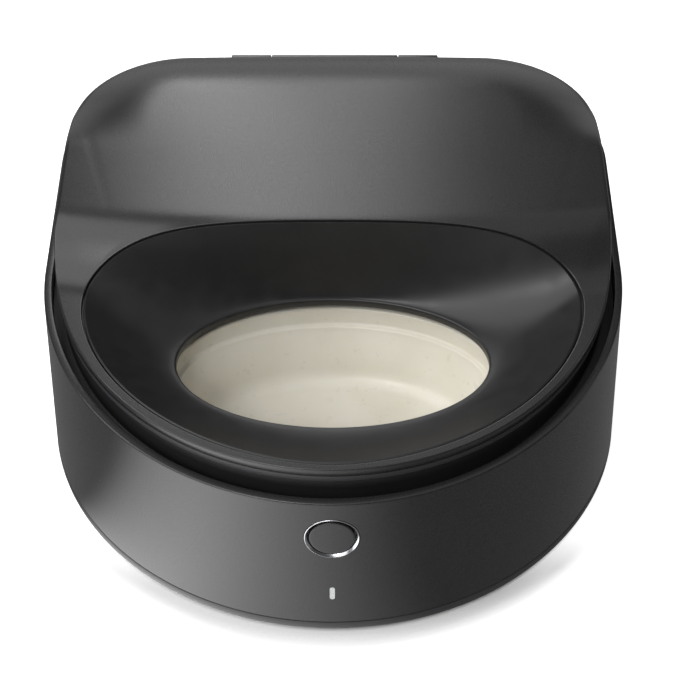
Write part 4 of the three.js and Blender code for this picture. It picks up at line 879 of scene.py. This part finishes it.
def food_tray(shape):
    """One beige moulding of even thickness: a flat plate with a rounded skirt and three oval bowls, on a hub socket."""
    tray = shape.tray
    levels = bowl_profile(tray)
    edge, steps = 2 * MM, 112
    turns = [2 * np.pi * k / tray.bowls for k in range(tray.bowls)]

    def bowl(draw, turned):
        return oval(tray.half_width - draw, tray.half_depth - draw, steps, (0, -tray.offset), turned)

    rows = np.arange(-tray.radius, tray.radius, 6 * MM)
    rim = oval(tray.radius - edge, tray.radius - edge, 180)
    points, faces = pierced(rim, [bowl(levels[0][0], turned) for turned in turns], field(rows, rows))
    parts = [(level(points, tray.top), faces)]
    for turned in turns:
        skin = np.concatenate([level(bowl(draw, turned), z) for draw, z in levels])
        floor_fan = fan(len(skin), len(skin) - steps, steps)
        skin = np.vstack([skin, skin[-steps:].mean(axis=0)])
        parts.append((skin, grid_faces(len(levels), steps), floor_fan))
    skirt = [(tray.radius - b, tray.top - a) for a, b in quarter(edge)]
    skirt += [(tray.radius, tray.top - tray.skirt + 1 * MM)]
    parts.append(revolve(skirt, 180, close=False))
    parts = [(np.asarray(points) + (0, tray.centre, 0), *sets) for points, *sets in parts]
    piece = build("food_tray_moulded", parts, "table", "tray_plastic", "food_tray", bend=50, weld=1e-5)
    shell = piece.modifiers.new("thickness", "SOLIDIFY")
    shell.thickness = tray.wall
    shell.offset = -1
    shell.use_rim = True
    socket = rounded(mm((0, 55), (0, 57), (13, 57), (13, 46), (10.9, 46), (10.9, 55)), 0.4 * MM)
    column = mm((11.5, 56), (13, 56), (13, 88.2), (11.5, 88.2))
    parts = [revolve(profile, 64, (0, tray.centre)) for profile in (socket, column)]
    build("food_tray_socket", parts, "table", "tray_plastic")


def on_wall(shape, outline, depth):
    """An outline laid on the front wall's curved face, and set back from it by a depth."""
    x, z = outline.T
    return np.stack([x, shape.wall_y(x, z) + depth, z], axis=1)


def controls(shape):
    """Button cap with a softly rounded edge, its bright ring, the milky light and the power inlet."""
    c = shape.controls
    middle = (0, c.button_z)
    on_axis, seat, edge = 0.02 * MM, 12.9 * MM, 0.45 * MM
    cap = [(on_axis, 0), *((c.cap_radius * part, 0) for part in (0.3, 0.6, 0.85))]
    cap += [(c.cap_radius - b, a) for a, b in quarter(edge)]
    cap += [(c.cap_radius, 3.4 * MM), (seat, 3.6 * MM), (seat, 4.6 * MM), (on_axis, 4.8 * MM)]
    cap = [on_wall(shape, oval(radius, radius, 96, middle), depth) for radius, depth in cap]
    build("button_cap_moulded", [loft(cap, caps=True)], "button", "shell_paint", "button_cap")
    inner, outer, proud, depth = c.ring_inner, c.ring_outer, -c.ring_proud, 4.4 * MM
    ring = [(inner, depth), (inner, proud + 1.1 * MM), (inner + 0.1 * MM, proud + 0.95 * MM)]
    ring += [(outer - b, proud + a) for a, b in quarter(0.35 * MM)] + [(outer, depth)]
    ring = [on_wall(shape, oval(radius, radius, 96, middle), depth) for radius, depth in ring]
    build("button_ring_plated", [loft(ring, close_rows=True)], "base", "trim_chrome", "button_ring")
    rings = []
    for draw, depth in mm((0.7, -0.05), (0.25, -0.08), (0.06, 0.0), (0, 0.2), (0, 4.0)):
        flat = slot_outline(c.light_width - draw, c.light_height - draw, (0, c.light_z), 14)
        rings.append(on_wall(shape, flat, depth))
    build("indicator_lens_moulded", [loft(rings, caps=True)], "base", "lens", "indicator_lens")
    rear = shape.foot[1] - shape.lean * c.inlet_z
    shell = mm((0, -12), (7.5, -12), (7.5, -3.7), (5.5, -3.7), (5.5, -0.35), (3.9, -0.35), (3.9, -10), (0, -10))
    pin = mm((0, -11), (1.1, -11), (1.1, -2), (0, -2))
    for name, profile, edge, steps, slot, node in (
        ("power_inlet_moulded", shell, 0.3 * MM, 64, "black_plastic", "power_inlet"),
        ("power_inlet_pin", pin, 0.4 * MM, 28, "screw_steel", None),
    ):
        points, faces = revolve(rounded(profile + (0, rear), edge), steps)
        lying = points[:, [0, 2, 1]] + (c.inlet_x, 0, c.inlet_z)
        build(name, [(lying, faces)], "base", slot, node)


# ---------------------------------------------------------------- materials
#
# Patterns have their real size in millimetres, except where that is too fine to show in the render: paint
# flakes, moulded grain, tool marks, rubber pits and ceramic grain are really 0.02 to 0.1 mm across, and are
# drawn at 0.15 to 0.6 mm.


def linear(code):
    """A screen colour such as 4c4c4e as the linear red, green and blue that shaders take."""
    parts = [int(code[k : k + 2], 16) / 255 for k in (0, 2, 4)]
    return tuple(p / 12.92 if p <= 0.04045 else ((p + 0.055) / 1.055) ** 2.4 for p in parts) + (1.0,)


def add_node(tree, kind, inputs=None, **settings):
    """Adds a shader node. Settings are its own properties; inputs are socket values, or what they link from.

    A link starts at a socket, or at a node's first output.
    """
    node = tree.nodes.new("ShaderNode" + kind)
    for key, value in settings.items():
        setattr(node, key, value)
    for key, value in (inputs or {}).items():
        source = value.outputs[0] if isinstance(value, bpy.types.Node) else value
        if isinstance(source, bpy.types.NodeSocket):
            tree.links.new(source, node.inputs[key])
        else:
            node.inputs[key].default_value = source
    return node


def coordinates(tree, stretch=(1, 1, 1)):
    """The piece's own coordinates in millimetres, which may be stretched along one direction."""
    coords = add_node(tree, "TexCoord").outputs["Object"]
    return add_node(tree, "Mapping", {"Vector": coords, "Scale": tuple(1000 * s for s in stretch)})


def new_material(name, color, roughness, layers=None, metallic=0.0, **values):
    """A material with one main shader and layers that vary its inputs. Gives the material, its tree and the shader.

    A layer is a noise: the size of its patches in millimetres, its detail, the two colours or values that it goes
    between, and how far it is stretched. Normal takes the relief's depth in millimetres and its strength instead.
    """
    material = bpy.data.materials.new(name)
    material.use_nodes = True
    material.diffuse_color = linear(color)
    tree = material.node_tree
    tree.nodes.clear()
    inputs = {"Base Color": linear(color), "Roughness": roughness, "Metallic": metallic}
    inputs.update((key.replace("_", " "), value) for key, value in values.items())
    shader = add_node(tree, "BsdfPrincipled", inputs)
    add_node(tree, "OutputMaterial", {"Surface": shader})
    for role, (size, detail, low, high, *stretch) in (layers or {}).items():
        where = coordinates(tree, *stretch)
        pattern = add_node(tree, "TexNoise", {"Vector": where, "Scale": 1.0 / size, "Detail": detail})
        share = {0: pattern, 1: 0.3, 2: 0.7}
        if role == "Normal":
            made = add_node(tree, "Bump", {"Height": pattern, "Distance": low * MM, "Strength": high}).outputs[0]
        elif role == "Base Color":
            made = add_node(
                tree, "Mix", {0: add_node(tree, "MapRange", share), 6: linear(low), 7: linear(high)}, data_type="RGBA"
            ).outputs[2]
        else:
            made = add_node(tree, "MapRange", {**share, 3: low, 4: high}).outputs[0]
        tree.links.new(made, shader.inputs[role])
    return material, tree, shader


def satin_paint():
    """Satin dark grey paint: fine flakes vary the gloss, soft clouds the grey, a faint orange peel the highlights."""
    layers = {"Roughness": (0.3, 1.0, 0.25, 0.31), "Normal": (1.6, 1.0, 0.004, 0.5)}
    material, tree, shader = new_material("satin_grey_paint", "202021", 0.28, layers)
    where, shares = coordinates(tree), []
    for size, detail, most in ((0.3, 1.0, 0.6), (34, 3.0, 0.4)):
        pattern = add_node(tree, "TexNoise", {"Vector": where, "Scale": 1.0 / size, "Detail": detail})
        shares.append(add_node(tree, "MapRange", {0: pattern, 1: 0.3, 2: 0.7, 4: most}))
    both = add_node(tree, "Math", dict(enumerate(shares)), operation="ADD")
    grey = add_node(tree, "Mix", {0: both, 6: linear("1d1d1e"), 7: linear("232324")}, data_type="RGBA")
    tree.links.new(grey.outputs[2], shader.inputs["Base Color"])
    return material


def grained_plastic(name, color, lighter, roughness, grain, depth):
    """Moulded plastic with a fine eroded grain that dulls it unevenly, like the inside faces of housings."""
    layers = {
        "Base Color": (22, 2.0, color, lighter),
        "Roughness": (grain, 3.0, roughness - 0.06, roughness + 0.06),
        "Normal": (grain, 3.0, depth, 0.7),
    }
    return new_material(name, color, roughness, layers)[0]


def smooth_black():
    """Smooth black moulding: deep colour and a soft mirror, slightly hazed by cleaning."""
    layers = {
        "Base Color": (9.0, 2.0, "1b1b1c", "1f1f20"),
        "Roughness": (9.0, 2.0, 0.37, 0.43),
        "Normal": (0.25, 1.0, 0.0008, 0.5),
    }
    return new_material("smooth_black_moulding", "1c1c1d", 0.4, layers, Specular_IOR_Level=0.45)[0]


def tray_plastic():
    """Warm off-white food-safe plastic: light enters a little, glossy skin with faint wash marks."""
    layers = {
        "Base Color": (30, 3.0, "d4cfc1", "dbd7cb"),
        "Roughness": (5.0, 4.0, 0.26, 0.36),
        "Normal": (8.0, 1.0, 0.02, 0.4),
    }
    depth = {"Subsurface_Weight": 0.15, "Subsurface_Scale": 2 * MM, "Subsurface_Radius": (1.0, 0.8, 0.6)}
    return new_material("ivory_food_plastic", "d8d3c6", 0.3, layers, Specular_IOR_Level=0.45, **depth)[0]


def metal(name, color, roughness, stretch=(1, 1, 1), size=0.15, depth=0.004):
    """Worked metal: fine marks that run along one direction, with slight patches of duller surface."""
    layers = {"Roughness": (7.0, 2.0, roughness - 0.04, roughness + 0.05), "Normal": (size, 3.0, depth, 0.6, stretch)}
    return new_material(name, color, roughness, layers, metallic=1.0)[0]


def plated_trim():
    """Bright plating on the button's ring: a soft mirror with a faint polishing haze."""
    return new_material("bright_plated_trim", "c2c3c6", 0.23, {"Roughness": (1.2, 3.0, 0.2, 0.27)}, metallic=1.0)[0]


def rubber():
    """Dull black rubber with a fine pitted skin."""
    layers = {"Roughness": (0.5, 3.0, 0.75, 0.9), "Normal": (0.5, 3.0, 0.03, 0.7)}
    return new_material("dull_black_rubber", "1d1d1e", 0.82, layers, Sheen_Weight=0.1)[0]


def bead_foam():
    """Pressed bead foam: pale beads with fine seams between them."""
    material, tree, shader = new_material("pressed_bead_foam", "dcdcd6", 0.85)
    inputs = {"Vector": coordinates(tree), "Scale": 0.3}
    beads = add_node(tree, "TexVoronoi", inputs, feature="DISTANCE_TO_EDGE")
    seam, slope = (add_node(tree, "MapRange", {0: beads, 1: 0.0, 2: reach}) for reach in (0.15, 0.25))
    pale = add_node(tree, "Mix", {0: seam, 6: linear("c4c4bc"), 7: linear("e2e2dd")}, data_type="RGBA")
    tree.links.new(pale.outputs[2], shader.inputs["Base Color"])
    relief = add_node(tree, "Bump", {"Height": slope, "Distance": 0.3 * MM, "Strength": 0.6})
    tree.links.new(relief.outputs[0], shader.inputs["Normal"])
    return material


def solder_mask():
    """Green circuit board: fine bright tracks under the lacquer and small tinned pads."""
    material, tree, shader = new_material("green_solder_mask", "1d5a3a", 0.38, Coat_Weight=0.4)
    where = coordinates(tree)
    tracks = add_node(tree, "TexBrick", {"Vector": where, "Scale": 0.22, "Mortar Size": 0.03}).outputs[1]
    cells = add_node(tree, "TexVoronoi", {"Vector": where, "Scale": 0.45, "Randomness": 0.3})
    pads = add_node(tree, "MapRange", {0: cells, 1: 0.12, 2: 0.16, 3: 1, 4: 0})
    color = linear("174a30")
    for factor, over in ((tracks, "2c7550"), (pads, "b9bcc0")):
        color = add_node(tree, "Mix", {0: factor, 6: color, 7: linear(over)}, data_type="RGBA").outputs[2]
    tree.links.new(color, shader.inputs["Base Color"])
    relief = add_node(tree, "Bump", {"Height": tracks, "Distance": 0.03 * MM, "Strength": 0.5})
    tree.links.new(relief.outputs[0], shader.inputs["Normal"])
    return material


def milky_lens():
    """Milky light guide that glows faintly from the lamp behind it."""
    layers = {"Normal": (0.4, 2.0, 0.004, 0.4), "Emission Strength": (4.0, 2.0, 0.1, 0.15)}
    milk = {"Transmission_Weight": 0.1, "IOR": 1.49, "Emission_Color": linear("fbfdff")}
    return new_material("milky_light_guide", "cfd1d0", 0.28, layers, **milk)[0]


def ceramic():
    """Fired white ceramic of the cooling module, slightly grainy with warm patches."""
    layers = {"Base Color": (6.0, 3.0, "dad7cd", "e9e8e2"), "Normal": (0.3, 2.0, 0.01, 0.6)}
    return new_material("fired_white_ceramic", "e3e1da", 0.55, layers)[0]


def make_materials():
    """One material for each slot of the part."""
    return {
        "shell_paint": satin_paint(),
        "dark_plastic": grained_plastic("dark_grained_moulding", "303032", "343436", 0.42, 0.35, 0.012),
        "funnel_plastic": smooth_black(),
        "well_plastic": grained_plastic("black_grained_moulding", "131314", "171718", 0.55, 0.4, 0.02),
        "tray_plastic": tray_plastic(),
        "rubber": rubber(),
        "screw_steel": metal("turned_steel", "b9bcc0", 0.28, (1, 1, 8), 0.3),
        "motor_steel": metal("zinc_plated_steel", "aeb1b6", 0.36, (1, 1, 0.1), 0.2),
        "magnet": metal("nickel_plate", "c4c2bd", 0.2),
        "trim_chrome": plated_trim(),
        "aluminium": metal("extruded_aluminium", "b0b4b9", 0.34, (6, 0.2, 6), 0.3, 0.01),
        "ceramic_foam": bead_foam(),
        "module_ceramic": ceramic(),
        "gear_nylon": grained_plastic("natural_nylon", "e4e1d6", "ebe9e0", 0.42, 0.6, 0.01),
        "board": solder_mask(),
        "black_plastic": grained_plastic("black_fan_moulding", "1b1b1c", "202021", 0.46, 0.5, 0.015),
        "lens": milky_lens(),
    }


def dress(materials):
    """Gives every new piece and every shown frame node the material of its slot."""
    slots = {entry["node"]: entry["material_slot"] for entry in frame["record"]["subparts"]}
    shown = [(node, slots[name]) for name, node in frame["nodes"].items()]
    shown += [(piece, piece["feeder_slot"]) for piece in bpy.context.scene.objects if "feeder_slot" in piece]
    for piece, slot in shown:
        piece.data.materials.clear()
        piece.data.materials.append(materials[slot])


# ---------------------------------------------------------------- operators


class FeederStep(bpy.types.Operator):
    """One step of the build, which makes its pieces in order. Problems are raised, not reported."""

    bl_options = {"REGISTER", "UNDO"}
    pieces = ()

    def execute(self, context):
        shape = Shape(context.scene)
        for make in self.pieces:
            make(shape)
        return {"FINISHED"}


class FEEDER_OT_base(FeederStep):
    """Build the base: wall, bottom cover, feet, screws and well"""

    bl_idname = "feeder.base"
    bl_label = "Build Base"
    pieces = (base_shell, screw_bosses, bottom_cover, feet, screws, well_liner)


class FEEDER_OT_lid(FeederStep):
    """Build the lid: hood, funnel, pan, seal, hinge and shutter"""

    bl_idname = "feeder.lid"
    bl_label = "Build Lid"
    pieces = (lid_shell, lid_liner, feeding_funnel, lid_seal, hinge, shutter)


class FEEDER_OT_tray(FeederStep):
    """Build the turning food tray"""

    bl_idname = "feeder.tray"
    bl_label = "Build Tray"
    pieces = (food_tray,)


class FEEDER_OT_controls(FeederStep):
    """Build the button, its ring, the light and the power inlet"""

    bl_idname = "feeder.controls"
    bl_label = "Build Controls"
    pieces = (controls,)


class FEEDER_OT_materials(FeederStep):
    """Give every piece its material"""

    bl_idname = "feeder.materials"
    bl_label = "Apply Materials"

    def execute(self, context):
        dress(make_materials())
        return {"FINISHED"}


class FEEDER_OT_stage(FeederStep):
    """Set up the floor, lights, background and camera of the photograph"""

    bl_idname = "feeder.stage"
    bl_label = "Set Up Stage"

    def execute(self, context):
        make_floor()
        make_lights()
        make_world(context.scene)
        make_camera(context.scene)
        return {"FINISHED"}


def make_floor():
    """A white sweep that glows for the camera. Its glow is dimmed where ambient occlusion finds the object's foot, in
    front of it only: a painted contact shadow.

    Reflections see a painted pool of light: bright to the left of the object, and dark in front of the object and to
    its right, over a floor painted darker for them.
    """
    # Reach of the painted contact shadow, and the peak and least level of the painted pool of light.
    size, glow, painted_shadow_reach, painted_pool_peak, least_painted_light = 3.0, 0.85, 26 * MM, 3.3, 0.2
    mesh = bpy.data.meshes.new("floor")
    mesh.from_pydata([(-size, -size, 0), (size, -size, 0), (size, size, 0), (-size, size, 0)], [], [(0, 1, 2, 3)])
    floor = bpy.data.objects.new("floor", mesh)
    bpy.context.collection.objects.link(floor)
    material, tree, shader = new_material(
        "white_floor", "e6e6e6", 0.8, Specular_IOR_Level=0.0, Emission_Color=(1, 1, 1, 1)
    )
    path = add_node(tree, "LightPath").outputs
    glossy = path["Is Glossy Ray"]
    coords = add_node(tree, "TexCoord").outputs["Object"]
    across, along, _ = add_node(tree, "SeparateXYZ", {0: coords}).outputs
    ahead = add_node(tree, "Math", {0: along, 1: -1.0}, operation="MULTIPLY")
    side = add_node(tree, "Math", {0: across, 1: ahead}, operation="DIVIDE")
    # Ambient occlusion round the object's foot, which paints a contact shadow into the camera's glow.
    near = add_node(tree, "AmbientOcclusion", {"Distance": painted_shadow_reach}, samples=8).outputs["AO"]
    made = {"camera": path["Is Camera Ray"], "transmission": path["Is Transmission Ray"], "glossy": glossy}
    for name, *limits in (
        # Painted contact shadow: the glow is whole away from the foot, and behind the object.
        ("clear_of_painted_shadow", near, 0.62, 1.0, 0.0, 1.0),
        ("behind", along, -0.14, -0.08, 0.0, 1.0),
        # Painted pool of light that only reflections see: bright to the left, fading out in front of the object and to
        # its right.
        ("painted_pool", side, -0.8, 0.45, painted_pool_peak, 0.0),
        ("pool_end", side, -2.1, -0.4, 0.0, 1.0),
        ("front", along, -0.05, 0.0, 1.0, 0.0),
    ):
        made[name] = add_node(tree, "MapRange", dict(enumerate(limits)), interpolation_type="SMOOTHSTEP")
    # Camera glow less the painted contact shadow, plus the painted pool of light for glossy rays.
    for name, operation, *terms in (
        ("glowing", "MAXIMUM", "clear_of_painted_shadow", "behind"),
        ("glow", "MULTIPLY", "glowing", glow),
        ("direct", "MAXIMUM", "camera", "transmission"),
        ("seen", "MULTIPLY", "glow", "direct"),
        ("pool_left", "MULTIPLY", "painted_pool", "pool_end"),
        ("pool_front", "MULTIPLY", "pool_left", "front"),
        ("painted_light", "ADD", "pool_front", least_painted_light),
        ("mirrored", "MULTIPLY", "painted_light", "glossy"),
        ("strength", "ADD", "seen", "mirrored"),
    ):
        inputs = {k: made.get(term, term) for k, term in enumerate(terms)}
        made[name] = add_node(tree, "Math", inputs, operation=operation)
    tree.links.new(made["strength"].outputs[0], shader.inputs["Emission Strength"])
    # Reflections see the floor painted a darker grey: painted shade.
    color = add_node(tree, "Mix", {0: glossy, 6: linear("e6e6e6"), 7: linear("3c3c3c")}, data_type="RGBA")
    tree.links.new(color.outputs[2], shader.inputs["Base Color"])
    mesh.materials.append(material)


def make_light(name, place, aim, size, power):
    """A rectangular soft light at a place in metres, turned towards an aim, with a power in watts."""
    data = bpy.data.lights.new(name, "AREA")
    data.shape = "RECTANGLE"
    data.size, data.size_y = size
    data.energy = power
    light = bpy.data.objects.new(name, data)
    light.location = place
    light.rotation_euler = (Vector(aim) - Vector(place)).to_track_quat("-Z", "Y").to_euler()
    light.visible_camera = False
    bpy.context.collection.objects.link(light)


def make_lights():
    """Two strips high behind that the hood mirrors, a large soft key on the left, and fill from all round."""
    for light in (
        ("strip_behind", (-0.21, 1.21, 1.18), (0, 0.06, 0.14), (0.24, 1.0), 4.3),
        ("strip_behind_dim", (0.02, 1.21, 1.18), (0, 0.06, 0.14), (0.22, 1.0), 2.0),
        ("key_left", (-1.1, -0.8, 1.7), (0, -0.05, 0.1), (2.6, 2.6), 44),
        ("front_left", (-0.45, -1.1, 1.25), (0, -0.02, 0.1), (0.35, 0.35), 5),
        ("card_left", (-1.7, -0.3, 1.0), (0, -0.05, 0.1), (0.8, 0.8), 5),
        ("top", (-0.1, 0.2, 2.0), (-0.1, 0.19, 0.1), (2.0, 2.1), 7),
        ("card_behind", (0, 1.7, 0.45), (0, 0, 0.14), (3.0, 0.85), 4.5),
        ("card_right", (1.9, 0.2, 0.5), (0, 0, 0.08), (0.4, 1.2), 3),
    ):
        make_light(*light)


def make_world(scene):
    """White to the camera, a grey studio to everything else."""
    world = bpy.data.worlds.new("studio")
    scene.world = world
    world.use_nodes = True
    tree = world.node_tree
    tree.nodes.clear()
    path = add_node(tree, "LightPath").outputs
    room, white = (
        add_node(tree, "Background", {"Color": (1, 1, 1, 1), "Strength": strength})
        for strength in (scene.feeder_stage.surround, 1.0)
    )
    rays = {0: path["Is Camera Ray"], 1: path["Is Transmission Ray"]}
    seen = add_node(tree, "Math", rays, operation="MAXIMUM")
    mix = add_node(tree, "MixShader", {0: seen, 1: room, 2: white})
    add_node(tree, "OutputWorld", {"Surface": mix})


def make_camera(scene):
    """The camera of the photograph: in front and above, looking down by the tilt."""
    stage = scene.feeder_stage
    data = bpy.data.cameras.new("camera")
    data.sensor_width = 36.0
    data.lens = stage.lens
    data.clip_start, data.clip_end = 0.05, 50.0
    camera = bpy.data.objects.new("camera", data)
    away = Vector((0, -math.cos(stage.tilt), math.sin(stage.tilt))) * stage.distance
    camera.location = Vector(stage.aim) + away
    camera.rotation_euler = (math.pi / 2 - stage.tilt, 0, 0)
    bpy.context.collection.objects.link(camera)
    scene.camera = camera
    scene.view_settings.view_transform = "Standard"


class FEEDER_PT_panel(bpy.types.Panel):
    """Buttons for each step of the build"""

    bl_idname = "FEEDER_PT_panel"
    bl_label = "Wet Food Feeder"
    bl_space_type = "VIEW_3D"
    bl_region_type = "UI"
    bl_category = "Feeder"

    def draw(self, context):
        for step in STEPS:
            self.layout.operator(step.bl_idname)


GROUPS = {
    "feeder_body": FeederBody,
    "feeder_lid": FeederLid,
    "feeder_tray": FeederTray,
    "feeder_controls": FeederControls,
    "feeder_stage": FeederStage,
}
STEPS = (FEEDER_OT_base, FEEDER_OT_lid, FEEDER_OT_tray, FEEDER_OT_controls, FEEDER_OT_materials, FEEDER_OT_stage)
CLASSES = (*GROUPS.values(), *STEPS, FEEDER_PT_panel)


def register():
    """Registers the classes and puts the sizes on the scene."""
    for cls in CLASSES:
        bpy.utils.register_class(cls)
    for name, cls in GROUPS.items():
        setattr(bpy.types.Scene, name, bpy.props.PointerProperty(type=cls))


def unregister():
    """Takes the sizes off the scene and removes the classes."""
    for name in GROUPS:
        delattr(bpy.types.Scene, name)
    for cls in reversed(CLASSES):
        bpy.utils.unregister_class(cls)


def main():
    """Runs every step in order."""
    register()
    bpy.ops.feeder.base()
    bpy.ops.feeder.lid()
    bpy.ops.feeder.tray()
    bpy.ops.feeder.controls()
    bpy.ops.feeder.materials()
    bpy.ops.feeder.stage()


if __name__ == "__main__":
    main()
